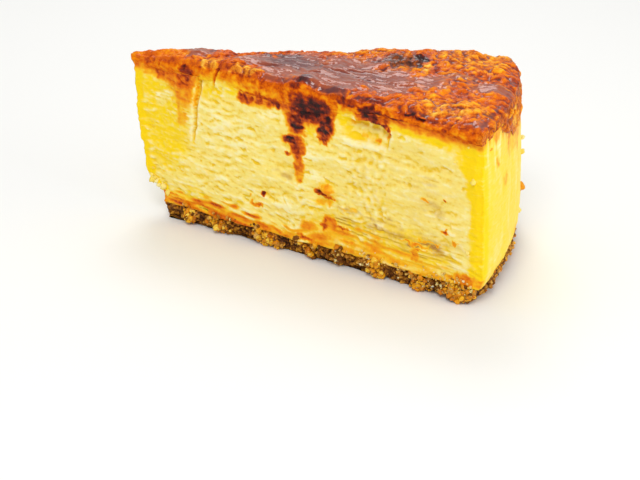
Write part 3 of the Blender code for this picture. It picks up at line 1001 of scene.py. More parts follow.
# %% [markdown]
# ## The burnt sugar
#
# Torched sugar sets as a glassy skin. Where it was thick it ran smooth and dark, and where it was thin it
# boiled into blisters over the browned cheese. The upper face is a grid of `out` by `across`, and the
# height at each point adds the solid's swells, ripples in the smooth pools and domes where it boiled.

# %% Marks on the sugar
# On the upper face: along X from the tip, along Y, half sizes along both, strength
POOLS = {
    "pool by the tip": (23.0, 2.0, 5.0, 4.0, 0.85),
    "start of the pool": (41.0, 0.6, 7.0, 5.6, 0.95),
    "dark pool": (54.0, -2.0, 11.0, 12.0, 1.0),
    "long pool": (70.0, -5.0, 14.0, 15.0, 1.0),
    "pool at 85": (85.0, -6.5, 11.0, 9.5, 0.95),
    "pool in front of the char": (98.0, -3.4, 7.0, 5.4, 0.85),
    "pool to the outer side": (117.0, -0.8, 8.0, 3.2, 0.8),
    "film before it": (106.0, 2.6, 7.0, 2.6, 0.5),
    "pool before the char": (78.0, 5.5, 6.0, 5.0, 0.6),
    "pool at the near corner": (117.4, -26.6, 3.0, 2.4, 0.6),
}
# Where it is burnt dark, in the same measures
BURNT = {
    "blister at the near edge": (61.3, -14.4, 3.2, 2.6, 0.74),
    "dark pool": (53.2, 0.6, 10.0, 6.0, 0.55),
    "far edge of the dark pool": (47.9, 6.6, 8.0, 2.4, 0.8),
    "red-brown spot": (53.0, 3.8, 2.8, 1.3, 0.8),
    "flecks in the pool": (64.0, 0.4, 1.8, 0.9, 0.85),
    "seam in the pool": (77.6, -6.4, 3.4, 1.0, 0.6),
    "long pool": (74.8, -3.4, 14.0, 7.0, 0.3),
    "char": (92.0, 11.6, 4.4, 1.9, 1.05),
    "tail of the char": (92.0, 8.2, 1.5, 2.6, 0.95),
    "beside the char": (85.4, 8.6, 7.5, 4.8, 0.8),
    "before the char": (81.0, 8.0, 5.0, 3.0, 0.6),
    "rim of the pool by the tip": (26.4, 4.6, 2.0, 1.6, 0.66),
    "crack across": (33.4, -3.5, 0.8, 7.0, 0.6),
    "near edge at 72": (72.0, -17.0, 5.0, 1.6, 0.6),
    "near edge at 84": (84.0, -20.4, 6.0, 1.6, 0.66),
    "fleck at the near corner": (120.9, -27.0, 1.2, 1.0, 0.95),
    "fleck at the outer edge": (122.4, 9.0, 0.9, 1.0, 0.95),
    "skyline fleck": (59.5, 14.4, 0.9, 1.2, 0.95),
    "spots at 97": (97.7, 7.2, 2.0, 2.0, 0.6),
    "red-brown line": (113.0, 4.2, 9.0, 1.2, 0.6),
    "far edge at 96": (95.0, 21.5, 5.0, 1.6, 0.6),
}
# Where its skin is thin and golden, in the same measures
GOLDEN = {
    "outer part": (106.6, 17.0, 14.0, 10.0, 0.7),
    "round the char": (86.0, 8.0, 8.0, 5.4, 1.0),
    "near corner": (108.4, -19.3, 13.0, 7.0, 0.66),
    "lump at 103": (103.8, -23.8, 2.6, 1.8, 1.4),
    "lump at 100": (99.8, -17.8, 2.2, 1.5, 1.3),
    "lumps at 105": (104.6, -17.8, 2.6, 1.3, 1.3),
    "lump at 110": (110.0, -23.4, 2.4, 1.6, 1.3),
    "lump at 117": (117.0, -20.0, 3.6, 2.2, 1.4),
    "outer middle": (104.8, 2.4, 6.0, 4.0, 0.6),
    "flake by the char": (94.8, 5.2, 1.9, 4.0, 1.6),
    "far edge": (71.3, 14.6, 12.0, 2.4, 0.7),
    "before the char": (79.4, 15.6, 5.0, 3.0, 0.6),
    "near strip": (43.0, -9.4, 8.0, 2.6, 1.2),
    "behind the crack": (29.0, -5.6, 3.6, 3.2, 1.2),
    "far corner": (114.5, 26.6, 7.0, 4.0, 1.1),
    "far edge at the tip": (12.0, 3.2, 6.0, 1.2, 0.7),
}
# The solid's own blisters: along X from the tip, along Y, radius, height
BLISTERS = {
    "dark blister at the near edge": (61.0, -14.5, 5.0, 1.5),
    "char on the mound": (89.5, 15.0, 5.0, 0.4),
    "swell at the near corner": (116.0, -21.0, 7.0, 1.0),
    "ridge near the tip": (23.0, 3.0, 4.5, 1.0),
}
# Burnt marks on the sugar's own cut side, and painted shade in its two slits: along, height, half
# length, half height, strength
BURNT_AND_SHADED_SIDE = {
    "flap": (21.6, 53.8, 3.2, 2.6, 0.68),
    "mottle near the tip": (10.0, 52.4, 5.0, 1.4, 0.42),
    "upright crack": (33.0, 57.5, 0.7, 4.0, 0.68),
    "under the blister": (62.4, 53.4, 5.0, 3.4, 0.62),
    "dark patch": (69.4, 51.8, 6.4, 2.6, 0.82),
    "blister": (61.2, 57.4, 3.0, 2.2, 0.68),
    "rim over the patch": (79.0, 56.2, 6.0, 1.8, 0.72),
    "over the pocket": (87.0, 54.6, 5.0, 2.0, 0.84),
    "painted shade in the slit at 94": (95.0, 54.4, 6.0, 0.7, 0.72),
    "painted shadow in the gap at 103": (103.0, 56.0, 6.0, 0.9, 0.95),
    "edge at 48": (49.0, 51.0, 9.0, 1.2, 0.54),
    "lobe at the corner": (112.0, 53.6, 4.0, 1.4, 0.55),
}


# %% Relief of the sugar
def sugar_swell(flat):
    """The solid's own upper face: a rise from the tip, a low mound, soft noise and four blisters."""
    along = along_slice(flat)
    rise = 2.6 * smooth_step(along, 4, 45) - 1.6 - 0.9 * smooth_step(along, 98, 122)
    mound = np.exp(-(((flat[:, 0] - 27) / 30) ** 2) - ((flat[:, 1] - 16) / 15) ** 2)
    swell = 0.8 * lattice_noise(flat, 17, 7) + 0.9 * lattice_noise(flat, 7.5, 8)
    for x, y, radius, height in BLISTERS.values():
        swell += height * np.exp(-((flat[:, 0] - TIP_X - x) ** 2 + (flat[:, 1] - y) ** 2) / radius**2)
    swell += smooth_step(turn_share(flat), -0.3, 0.8) * read_off(FAR_EDGE, along)
    return SUGAR_TOP + rise + 1.2 * mound + swell


def sugar_marks(flat):
    """What the sugar is like at each point seen from above: pool, burnt and golden, each 0 to 1."""
    x, y = flat[:, 0] - TIP_X, flat[:, 1]
    ripple = 0.8 * flat_noise(0.3 * x, y, 2.2, 111)
    pool = paint(x, y + ripple, POOLS, 5.0, 112)
    burnt = paint(x, y + ripple, BURNT, 2.6, 124)
    golden = paint(x, y + ripple, GOLDEN, 4.0, 116)
    return pool, burnt, golden


def ripples(first, second):
    """Sugar that ran and set: soft waves of two lengths, bent and drawn out along the slice."""
    bent = second + 0.15 * first + 1.6 * flat_noise(first, second, 6.0, 125)
    first = first + 1.5 * flat_noise(first, second, 5.0, 126)
    waves = 0.62 * flat_noise(0.3 * first, bent, 3.2, 121) + 0.3 * flat_noise(0.36 * first, bent, 1.6, 122)
    return waves + 0.09 * flat_noise(first, bent, 0.9, 127)


def sugar_top(flat, pool):
    """Height of the upper face: the solid's swell, ripples in the pools and domes outside them."""
    x, y = flat[:, 0], flat[:, 1]
    rough = boiled(x, y)[0] + 0.3 * flat_noise(x, y, 2.4, 123)
    return sugar_swell(flat) + blend(rough, ripples(x, y), smooth_step(pool, 0.2, 0.75))


# %% Build the sugar
SUGAR_COUNTS = (380, 170)
SUGAR_SIDE_ROWS = 22
SUGAR_INSETS = (0.1, 0.5)
OUTER_HALF_WIDTH = 31
RIM_REACH = 1.8


def sugar_side_relief(along, height):
    """The cut side of the sugar: rows of small beads where it boiled over, a crack and two slits."""
    beads = boiled(0.8 * along, 1.3 * height)[0]
    soft = 0.5 * flat_noise(along, height, 2.6, 131) + 0.3 * flat_noise(along, height, 1.1, 132)
    boiled_over = 0.45 + 0.55 * smooth_step(along, 88, 104) - 0.3 * groove(along - 12, 10)
    cracks = -1.1 * groove(along - (33.2 + 0.3 * (height - 56)), 0.45)
    slit = -1.3 * groove(height - 55.8 - 0.04 * (along - 103), 0.5) * groove(along - 103, 5.4)
    slit -= 0.9 * groove(height - 53.9, 0.5) * groove(along - 91, 5)
    return blend(soft, beads + 0.4 * soft, boiled_over) + cracks + slit


def sugar_shape(out, across, up, rim):
    """A point of the sugar, and its fine relief. rim is 1 on the side and falls to 0 a little way in over
    the upper face, so that the side's lap and relief fade out there."""
    start = read_off(TORN_TIP, SUGAR_BOTTOM - 1 + 4 * up)
    places = plan_place(out, across, np.full_like(out, SUGAR_BOTTOM), start, CAKE_RADIUS - 1.2)
    along = along_slice(places)
    lap = 0.6 + 0.8 * lattice_noise(at_height(places, 0), 9, 19) + 0.8 * smooth_step(along, 88, 110)
    foot = blend(0.15 * smooth_step(along, 80, 90), 0.15, smooth_step(across, -0.9, -0.8))
    bulge = lap * np.sin(math.pi * np.clip(foot + 0.7 * up, 0, 1)) - 0.5 * smooth_step(up, 0.6, 1)
    near, far, outer, tip = side_shares(out, across)
    flat = at_height(places, 0)
    pool = sugar_marks(flat)[0]
    y = places[:, 1]
    run = read_off(OUTER_RUN, y) * (1 + 0.3 * flat_noise(y, 0 * y, 3.5, 133)) * outer * rim
    low = sugar_bottom(places) - run
    lowered = 1.3 * np.maximum(smooth_step(np.abs(across), 0.82, 1), smooth_step(out, 0.95, 1))
    swell = sugar_swell(flat)
    high = sugar_top(flat, pool) - lowered
    height = low + (high - low) * up
    side_detail = sugar_side_relief(along, height) * (0.35 + 0.65 * up)
    far_detail = 0.8 * boiled(flat[:, 0] + 60, height)[0]
    outer_detail = boiled(y + 90, 1.2 * height)[0] - 0.15
    outer_detail *= 0.25 + 0.65 * smooth_step(up, 0, 0.3)
    places += ((bulge + side_detail * (1 - tip)) * near * rim)[:, None] * NEAR_NORMAL
    places += ((0.8 * bulge + far_detail) * far * rim)[:, None] * FAR_NORMAL
    stands_out = 1.1 * smooth_step(run, 0, 3) * (1 - up)
    places += ((0.4 * bulge + outer_detail + stands_out) * outer * rim)[:, None] * OUTER_NORMAL
    places[:, 2] = height - 0.4 * rim * up
    detail = (side_detail * near + far_detail * far + outer_detail * outer) * rim
    return places, detail + (high - swell) * (1 - 0.6 * rim)


def build_sugar():
    """Points, relief and faces of the sugar: the grid of its upper face, loops down its side, loops that
    narrow underneath and a last point."""
    count_out, count_across = SUGAR_COUNTS
    grid = np.meshgrid(np.linspace(0, 1, count_out + 1), np.linspace(-1, 1, count_across + 1), indexing="ij")
    out, across = grid
    half_width = np.maximum(out * OUTER_HALF_WIDTH, TIP_HALF_WIDTH)
    from_edge = np.minimum((1 - np.abs(across)) * half_width, (1 - out) * CAKE_RADIUS)
    rim = 1 - smooth_step(from_edge, 0, RIM_REACH)
    upper, upper_relief = sugar_shape(out.ravel(), across.ravel(), np.ones(out.size), rim.ravel())
    number = np.arange(out.size).reshape(out.shape)
    rim_loop = np.concatenate([number[:-1, 0], number[-1, :-1], number[:0:-1, -1], number[0, :0:-1]])
    loop_out, loop_across = perimeter(count_out, count_across, count_out, count_across)
    levels = np.linspace(1, 0, SUGAR_SIDE_ROWS + 1)[1:]
    rows = np.array([(level, 0.0) for level in levels] + [(0.0, inset) for inset in SUGAR_INSETS])
    up, inset = rows[:, :1], rows[:, 1:]
    turned_in = loop_out + (MIDDLE_OUT - loop_out) * inset
    shares = np.broadcast_arrays(turned_in, loop_across * (1 - inset), up, 1 - inset)
    lower, lower_relief = sugar_shape(*(share.ravel() for share in shares))
    points = np.concatenate([upper, lower])
    loops = np.concatenate([rim_loop[None], np.arange(len(upper), len(points)).reshape(len(rows), -1)])
    pole = points[loops[-1]].mean(axis=0)
    quads = np.concatenate([grid_faces(*out.shape), sew(loops)])
    upper_relief = raised(upper_relief.reshape(out.shape), 16).ravel()
    lower_relief = raised(lower_relief.reshape(len(rows), -1), 16).ravel()
    relief = np.concatenate([upper_relief, lower_relief, [0]])
    return np.concatenate([points, [pole]]), relief, quads, fan(len(points), loops[-1], False)


sugar_points, sugar_relief, sugar_quads, sugar_triangles = build_sugar()
print("sugar:", len(sugar_points), "points, from", sugar_points.min(axis=0).round(1),
      "to", sugar_points.max(axis=0).round(1))

# %% [markdown]
# Clear caramel over browned cheese looks orange, and thick caramel looks brown, but its smooth pools
# mirror the bright room and come out a dusty mauve. So the pools get a dark colour and a strong coat, and
# the room does the rest. The tops of the blisters are thin and golden, and they are painted lighter where
# they stand up, as a painted highlight; their creases and the troughs of the pools are painted darker, as
# painted shade.


# %% Finish of the sugar
def sugar_colour_marks(points, relief):
    """How burnt, pooled and glossy the sugar is at each point. The marks seen from above give way to the
    near side's own where the side turns down. Raised points are painted lighter and hollows darker, as
    painted highlight and shade, and so are the crests and troughs of the pools."""
    flat = at_height(points, 0)
    along, height = along_slice(points), points[:, 2]
    pool, burnt, golden = sugar_marks(flat)
    turn = turn_share(points)
    under_top = sugar_swell(flat) - height
    over_side = smooth_step(under_top, 1.0, 2.6)
    near_side = fade(turn, -0.97, -0.88) * over_side
    far_side = smooth_step(turn, 0.88, 0.97) * over_side
    outer_side = smooth_step(along, CAKE_RADIUS - 3.5, CAKE_RADIUS - 1.5) * over_side
    x, y = flat[:, 0], flat[:, 1]
    thin = boiled(x, y)[1]
    mottle = 0.14 * flat_noise(x, y, 5.0, 143) + 0.12 * flat_noise(x, y, 1.8, 144)
    golden = np.clip(golden, 0, 1.3)
    # crest is the relief: the pools are painted lighter on it and darker in its troughs, as painted
    # highlight and shade.
    crest = np.clip(3.0 * relief, -1, 1)
    # lifted mixes thin golden skin with raised relief; the relief part is a painted highlight.
    lifted = np.clip(0.5 * thin + 2.5 * relief, -0.3, 1.0)
    level = 0.5 - 0.07 * fade(along, 16, 34) + mottle - (0.08 + 0.28 * golden) * lifted - 0.05 * golden
    # Hollows are painted darker: painted shade.
    level = np.maximum(level, 1.05 * burnt) + 0.16 * fade(relief, -0.3, -0.04)
    # The sugar's side takes the near side's burn, painted shadows and all, and its own burnt marks, with
    # painted shade in its slits.
    side_level = np.maximum(near_burn_and_shadow(along, height), paint(along, height, BURNT_AND_SHADED_SIDE, 2.2, 141))
    side_thin = boiled(0.8 * along, 1.3 * height)[1]
    # On the sides too, raised points are painted lighter and hollows darker: painted highlight and shade.
    side_level = side_level - 0.16 * np.clip(2.5 * relief + 0.5 * side_thin, -0.6, 1) + 0.03
    other_level = 0.46 + 0.16 * flat_noise(along, height, 6.0, 142) - 0.3 * np.clip(2.5 * relief, -0.5, 1)
    level = blend(level, other_level, np.clip(far_side + outer_side, 0, 1))
    level = blend(level, side_level, near_side)
    side = np.clip(near_side + far_side + outer_side, 0, 1)
    pool = pool + 0.5 * fade(relief, -0.22, 0.04) * smooth_step(along, 42, 62)
    return {
        "burn": np.clip(level, 0, 1),
        "pool": np.clip(pool, 0, 1) * (1 - side),
        "dark_pool": np.clip(burnt - 0.45 * crest + 0.25, 0, 1) * (1 - side),
        "gold": np.clip(golden * (1 - side) + 0.7 * outer_side, 0, 1.3),
        "side": side,
    }


GOLD_STOPS = stops(
    (0.0, 252, 204, 96), (0.3, 236, 158, 44), (0.48, 206, 114, 20), (0.66, 156, 74, 12), (1.0, 70, 26, 8),
)
POOL_MAUVE = shade(152, 70, 42)
DARK_POOL_AND_TROUGH_SHADE = shade(92, 40, 42)


def sugar_finish():
    """The sugar's material: burnt or golden skin, dark pools over it, and a coat where it ran smooth."""
    recipe = Recipe("burnt sugar", Specular_IOR_Level=0.05, Coat_Roughness=0.06, Coat_IOR=1.5,
                    Subsurface_Weight=0.1, Subsurface_Radius=(1.0, 0.4, 0.1), Subsurface_Scale=0.001)
    burn, pool, side = recipe.attribute("burn"), recipe.attribute("pool"), recipe.attribute("side")
    patch = recipe.noise(1.6, detail=5.0)
    fine = recipe.noise(0.5)
    gold = recipe.attribute("gold") * (1.2 - patch * 0.8)
    level = burn * ((fine - 0.5) * 0.5 + (patch - 0.5) * 0.6 + 1.0) + gold * (fine - 0.46) * 0.5
    burnt, golden = recipe.ramp(level, BURN_STOPS), recipe.ramp(level, GOLD_STOPS)
    tone = recipe.mix(burnt, golden, gold.step(0.1, 0.9) * 0.85)
    thick = recipe.mix(POOL_MAUVE, DARK_POOL_AND_TROUGH_SHADE, recipe.attribute("dark_pool").step(0.25, 0.8))
    share = (pool + (patch - 0.5) * 0.6).step(0.2, 0.8)
    tone = recipe.mix(tone, thick, share * (1 - burn.step(0.7, 0.95)) * 0.9)
    gloss = (share + burn * 0.7 + (patch - 0.5) * 0.5).step(0.1, 1.0)
    skin = recipe.noise(0.7)
    coat = (gloss * 0.85 + 0.06) * (1 - side) + side * burn.step(0.5, 0.75) * 0.3
    return recipe.finish(Base_Color=tone, Roughness=0.5 - gloss * 0.2, Coat_Weight=coat,
                         Normal=recipe.bump(skin, 0.1))


sugar = make_piece("burnt_sugar_skin", sugar_points, sugar_quads, sugar_triangles,
                   sugar_colour_marks(sugar_points, sugar_relief), sugar_finish())
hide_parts("burnt_sugar_top")

# %% [markdown]
# ## The biscuit base
#
# Crushed biscuit bound with butter breaks into crumbs of every size. Packed domes of three sizes make the
# relief of its sides, and each dome keeps its own random share, so that the finish can give every crumb
# its own brown.

# %% Build the biscuit
# Clumps that stand out of the near side: along, half length, how far they stand out
CLUMPS = (
    (22, 2.6, 2.2), (31.5, 3.6, 2.0), (51, 4.4, 2.0), (66, 2.8, 1.4), (91, 3.4, 1.3), (105, 3.2, 1.7),
    (119, 4.2, 1.5),
)
BISCUIT_COUNTS = (620, 190, 380, 30)
BISCUIT_ROWS = stacked_rows(np.linspace(0, 1, 36), (0.06, 0.5))


def crumb_relief(round_it, height):
    """Packed crumbs of three sizes on a side, from how far round it and how high a point is, and the
    random share of the crumb that the point is on."""
    bent = round_it + 0.5 * flat_noise(round_it, height, 2.0, 154)
    big, _, big_own = domes(bent, height, 2.5, 151)
    mid, _, mid_own = domes(bent, height + 0.3, 1.25, 152)
    small, _, small_own = domes(bent, height, 0.65, 153)
    relief = 1.1 * big * (0.1 + big_own) + 0.8 * mid * (0.1 + mid_own) + 0.3 * small - 1.0
    return relief, 0.4 * big_own + 0.35 * mid_own + 0.25 * small_own


def round_side(out, across, along, y):
    """How far round the slice a point is, with a start of its own for each side."""
    return np.where(out > 0.999, 200 + y, np.where(across > 0, 400 + along, along))


def biscuit_shape(out, across, up, rim):
    """The biscuit base and its relief: flat underneath, its sides moved by clumps and crumbs, its lower
    rim chipped."""
    height = BASE_TOP * up
    end = CAKE_RADIUS + read_off(OUTER_SIDE, height) - BISCUIT_CORNER_ROUND * fade(across, -1, -0.6)
    places = plan_place(out, across, height, read_off(TORN_TIP, height), end)
    crumb = 1.3 * lattice_noise(places, 5, 23) + 0.5 * lattice_noise(places, 11, 29)
    along = along_slice(places)
    clumps = sum(distance * groove(along - place, half) for place, half, distance in CLUMPS)
    clumps = clumps * groove(height, 5.0)
    near, far, outer, tip = side_shares(out, across)
    grain = crumb_relief(round_side(out, across, along, places[:, 1]), height)[0]
    low_edge = 0.8 * fade(height, 0, 2.6)
    places += ((crumb + clumps - 1.2 + grain - low_edge) * near * rim)[:, None] * NEAR_NORMAL
    places += ((crumb + grain - low_edge) * far * rim)[:, None] * FAR_NORMAL
    places += ((0.6 * crumb + 0.7 * grain - low_edge) * outer * rim)[:, None] * OUTER_NORMAL
    places -= (grain * tip * rim)[:, None] * OUTER_NORMAL
    chipped = rim**3 * np.maximum(0, 0.9 * lattice_noise(at_height(places, 0), 6, 31) + 0.2)
    places[:, 2] = (biscuit_top(places) + 0.3 * rim) * up + chipped * (1 - up)
    return places, (grain + 0.5 * crumb) * rim


def biscuit_marks(points, relief):
    """Each crumb's own tone, how golden the butter made it near a clump, and whether it stands out, which
    the finish turns into painted highlight and shade.
    """
    along, height = along_slice(points), points[:, 2]
    own = crumb_relief(along, height)[1]
    near = smooth_step(-turn_share(points), 0.8, 0.95)
    clump = sum(groove(along - place, 0.8 * half) for place, half, distance in CLUMPS) * near
    patches = fade(along, 12, 34) + 0.6 * smooth_step(flat_noise(along, height, 6.0, 161), 0.1, 0.5)
    golden = np.clip(0.8 * clump + 0.6 * patches * smooth_step(height, 1, 6), 0, 1)
    stands_out = raised_on_skin(relief, BISCUIT_ROWS, 10)
    return {"crumb": own, "golden": golden, "raised": np.clip(2.2 * stands_out, -1, 1)}


biscuit_points, biscuit_relief, biscuit_quads, biscuit_triangles = wrapped_skin(
    BISCUIT_COUNTS, BISCUIT_ROWS, biscuit_shape
)
print("biscuit:", len(biscuit_points), "points")

# %% Finish of the biscuit
CRUMB_STOPS = stops(
    (0.0, 46, 22, 6), (0.25, 96, 52, 12), (0.45, 150, 94, 22), (0.62, 196, 134, 36), (0.8, 230, 174, 66),
    (1.0, 250, 220, 140),
)
BUTTER_GOLD = shade(232, 150, 22)
BUTTER_BROWN_AND_SHADE = shade(150, 84, 14)


def biscuit_finish():
    """The biscuit's material: a brown of its own for each crumb, and gold where butter gathered. Crumbs
    that stand out are painted lighter and recesses darker, as painted highlight and shade, and the butter
    turns brown in the recesses as painted shade.
    """
    recipe = Recipe("biscuit crumb", Specular_IOR_Level=0.1, Coat_Roughness=0.2)
    crumb, golden, out = recipe.attribute("crumb"), recipe.attribute("golden"), recipe.attribute("raised")
    fine = recipe.noise(0.6, detail=4.0)
    # Raised crumbs are painted lighter and recesses darker: painted highlight and shade.
    tone = recipe.ramp(crumb * 0.75 + (fine - 0.5) * 0.6 + out * 0.35, CRUMB_STOPS)
    # The butter is painted gold on raised crumbs and brown in the recesses: painted shade.
    butter = recipe.mix(BUTTER_BROWN_AND_SHADE, BUTTER_GOLD, (out + (fine - 0.5) * 1.4).step(-0.6, 0.5))
    tone = recipe.mix(tone, butter, (golden + (fine - 0.5) * 0.6).step(0.2, 0.8))
    skin = recipe.noise(0.35, detail=4.0)
    return recipe.finish(Base_Color=tone, Roughness=0.7 - golden * 0.3, Coat_Weight=golden * 0.4 + 0.05,
                         Normal=recipe.bump(skin, 0.18))


biscuit = make_piece("biscuit_crumb_base", biscuit_points, biscuit_quads, biscuit_triangles,
                     biscuit_marks(biscuit_points, biscuit_relief), biscuit_finish())
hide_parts("biscuit_base")

# %% [markdown]
# ## Loose crumbs, clumps and grains
#
# The crumb that fell against the slice is many small pieces. Each kind is one mesh: a lumpy pebble with a
# few dozen faces, copied to many places as one array of points. The places are points of the skins that
# are already made, so every pebble sits where the surface really is, a little sunk in.


# %% Pebbles
PEBBLE_KINDS = 4
PEBBLE_RINGS = 6
PEBBLE_COLUMNS = 9


def pebble(rows, columns, seed):
    """A lumpy ball of radius 1 as points and faces: rings between two poles, pushed by noise."""
    tilt = np.linspace(0, math.pi, rows + 2)[1:-1, None]
    turn = np.linspace(0, 2 * math.pi, columns, endpoint=False)[None]
    sides = np.broadcast_arrays(np.sin(tilt) * np.cos(turn), np.sin(tilt) * np.sin(turn), np.cos(tilt))
    ball = np.concatenate([np.stack(sides, -1).reshape(-1, 3), [[0, 0, 1], [0, 0, -1]]])
    ball *= (1 + 0.5 * lattice_noise(ball, 0.8, seed) + 0.3 * lattice_noise(ball, 0.4, seed + 50))[:, None]
    loops = np.arange(rows * columns).reshape(rows, columns)
    ends = np.concatenate([fan(rows * columns, loops[0], True), fan(rows * columns + 1, loops[-1], False)])
    return ball, sew(loops), ends


def scatter(name, finish, centres, sizes, seed, squash=0.3):
    """One mesh of many pebbles, each turned and squashed at random, with a random tone of its own."""
    random = np.random.default_rng(seed)
    kinds = [pebble(PEBBLE_RINGS, PEBBLE_COLUMNS, seed + number) for number in range(PEBBLE_KINDS)]
    balls = np.array([ball for ball, quads, ends in kinds])
    turns = np.linalg.qr(random.normal(size=(len(centres), 3, 3)))[0]
    turns *= np.sign(np.linalg.det(turns))[:, None, None]
    scale = sizes[:, None] * (1 - squash * random.random((len(centres), 3)))
    shapes = balls[np.arange(len(centres)) % PEBBLE_KINDS] * scale[:, None]
    points = np.einsum("nij,nkj->nki", turns, shapes) + centres[:, None]
    first = np.arange(len(centres))[:, None, None] * points.shape[1]
    quads, ends = (kinds[0][1] + first).reshape(-1, 4), (kinds[0][2] + first).reshape(-1, 3)
    tone = np.repeat(random.random(len(centres)), points.shape[1])
    make_piece(name, points.reshape(-1, 3), quads, ends, {"tone": tone}, finish)


def pick(points, weights, count, seed):
    """Some of a skin's points, drawn by weight, none twice."""
    random = np.random.default_rng(seed)
    chosen = random.choice(len(points), size=count, replace=False, p=weights / weights.sum())
    return points[chosen]


def nearest(points, places):
    """The skin's points nearest to some places."""
    return np.array([points[np.argmin(((points - place) ** 2).sum(axis=1))] for place in places])


def side_weights(points, side):
    """1 for a skin's points on the near (-1) or the far (1) side, 0 elsewhere."""
    return smooth_step(side * turn_share(points), 0.93, 0.99) * (along_slice(points) < CAKE_RADIUS - 1)


# %% Finishes of the loose pieces
def pebble_finish(name, colours, roughness, coat, clear=0.0):
    """The material of one kind of loose piece. clear is how much light goes into it."""
    recipe = Recipe(name, Specular_IOR_Level=0.1, Coat_Roughness=0.1, Subsurface_Weight=clear,
                    Subsurface_Radius=(1.0, 0.7, 0.4), Subsurface_Scale=0.001)
    fine = recipe.noise(0.5)
    tone = recipe.ramp(recipe.attribute("tone") * 0.8 + (fine - 0.5) * 0.6 + 0.1, colours)
    return recipe.finish(Base_Color=tone, Roughness=roughness, Coat_Weight=coat,
                         Normal=recipe.bump(recipe.noise(0.3), 0.06))


GOLDEN_STOPS = stops((0.0, 180, 96, 4), (0.4, 226, 142, 8), (0.75, 250, 184, 28), (1.0, 255, 222, 96))
DARK_STOPS = stops((0.0, 70, 34, 8), (0.4, 136, 80, 20), (0.7, 190, 128, 40), (1.0, 228, 176, 84))
GRAIN_STOPS = stops((0.0, 208, 146, 44), (0.6, 240, 200, 112), (1.0, 255, 244, 212))
CURD_STOPS = stops((0.0, 246, 206, 62), (0.5, 253, 228, 110), (1.0, 255, 244, 184))
golden_finish = pebble_finish("buttered clump", GOLDEN_STOPS, 0.45, 0.25, clear=0.25)
dark_finish = pebble_finish("dark crumb", DARK_STOPS, 0.65, 0.08, clear=0.1)
grain_finish = pebble_finish("sugar grain", GRAIN_STOPS, 0.3, 0.7, clear=0.6)
curd_finish = pebble_finish("curd", CURD_STOPS, 0.5, 0.05)

# %% Golden clumps and dark crumbs
# Along the near side and height of the one large sugar grain
LARGE_GRAIN = (47.6, 3.2)
# Along the near side, height and radius of the pale drops near the outer edge
DROPS = ((121.6, 40.5, 1.0), (119.0, 50.4, 0.4), (121.4, 17.4, 0.7), (115.0, 45.2, 0.45))
# X and Y of the line on the outer side that is its outline in the photograph
OUTLINE = (60.0, 21.6)
# Height and radius of the pieces that stick to it
ORANGE_CRUMB = (17.0, 1.9)
OUTER_CURDS = ((34, 1.0), (29, 1.0), (8.5, 1.2))

random = np.random.default_rng(7)


def random_sizes(centres, smallest, spread):
    """A radius for each piece, in millimetres: most are near the smallest and few are large."""
    return smallest + spread * random.random(len(centres)) ** 2


biscuit_near, biscuit_far = side_weights(biscuit_points, -1), side_weights(biscuit_points, 1)
biscuit_along, biscuit_height = along_slice(biscuit_points), biscuit_points[:, 2]
biscuit_outer = (biscuit_along > CAKE_RADIUS - 1.5).astype(float)
clump_weights = 0.03 + sum(groove(biscuit_along - place, 0.85 * half) for place, half, distance in CLUMPS)
far_patches = smooth_step(lattice_noise(biscuit_points, 9, 201), -0.1, 0.4)
centres = np.concatenate([
    pick(biscuit_points, clump_weights * biscuit_near, 420, 11) + 0.3 * NEAR_NORMAL,
    pick(biscuit_points, biscuit_far * far_patches, 200, 12) + 0.3 * FAR_NORMAL,
    pick(biscuit_points, biscuit_outer, 60, 18) + 0.1 * OUTER_NORMAL,
])
centres[:, 2] = np.maximum(centres[:, 2], 0.7)
sizes = random_sizes(centres, 0.4, 0.9)
orange_crumb = nearest(filling_points, [(*OUTLINE, ORANGE_CRUMB[0])]) + 0.5 * OUTER_NORMAL
centres, sizes = np.concatenate([centres, orange_crumb]), np.append(sizes, ORANGE_CRUMB[1])
scatter("golden_clumps", golden_finish, centres, sizes, 21, squash=0.5)

centres = np.concatenate([
    pick(biscuit_points, biscuit_near, 620, 13) + 0.1 * NEAR_NORMAL,
    pick(biscuit_points, biscuit_far, 360, 14) + 0.1 * FAR_NORMAL,
    pick(biscuit_points, biscuit_outer, 160, 19),
])
centres[:, 2] = np.maximum(centres[:, 2], 0.5)
scatter("biscuit_crumbs", dark_finish, centres, random_sizes(centres, 0.35, 0.6), 22)

# %% Sugar grains and curds
filling_near, filling_height = side_weights(filling_points, -1), filling_points[:, 2]
filling_along = along_slice(filling_points)
grain_weights = biscuit_near * (0.3 + smooth_step(biscuit_along, 70, 86))
grain_weights *= smooth_step(biscuit_height, 0.5, 2.5)
filling_low = filling_near * fade(filling_height, 7.0, 9.5) * smooth_step(filling_along, 78, 88)
centres = np.concatenate([
    pick(biscuit_points, grain_weights, 170, 15) + 0.3 * NEAR_NORMAL,
    pick(filling_points, filling_low, 34, 16) + 0.1 * NEAR_NORMAL,
    pick(biscuit_points, biscuit_far, 80, 17) + 0.3 * FAR_NORMAL,
])
sizes = random_sizes(centres, 0.25, 0.5)
large_grain = nearest(biscuit_points, [on_near_side(*LARGE_GRAIN)]) + 0.5 * NEAR_NORMAL
centres, sizes = np.concatenate([centres, large_grain]), np.append(sizes, 1.4)
scatter("sugar_grains", grain_finish, centres, sizes, 23, squash=0.4)

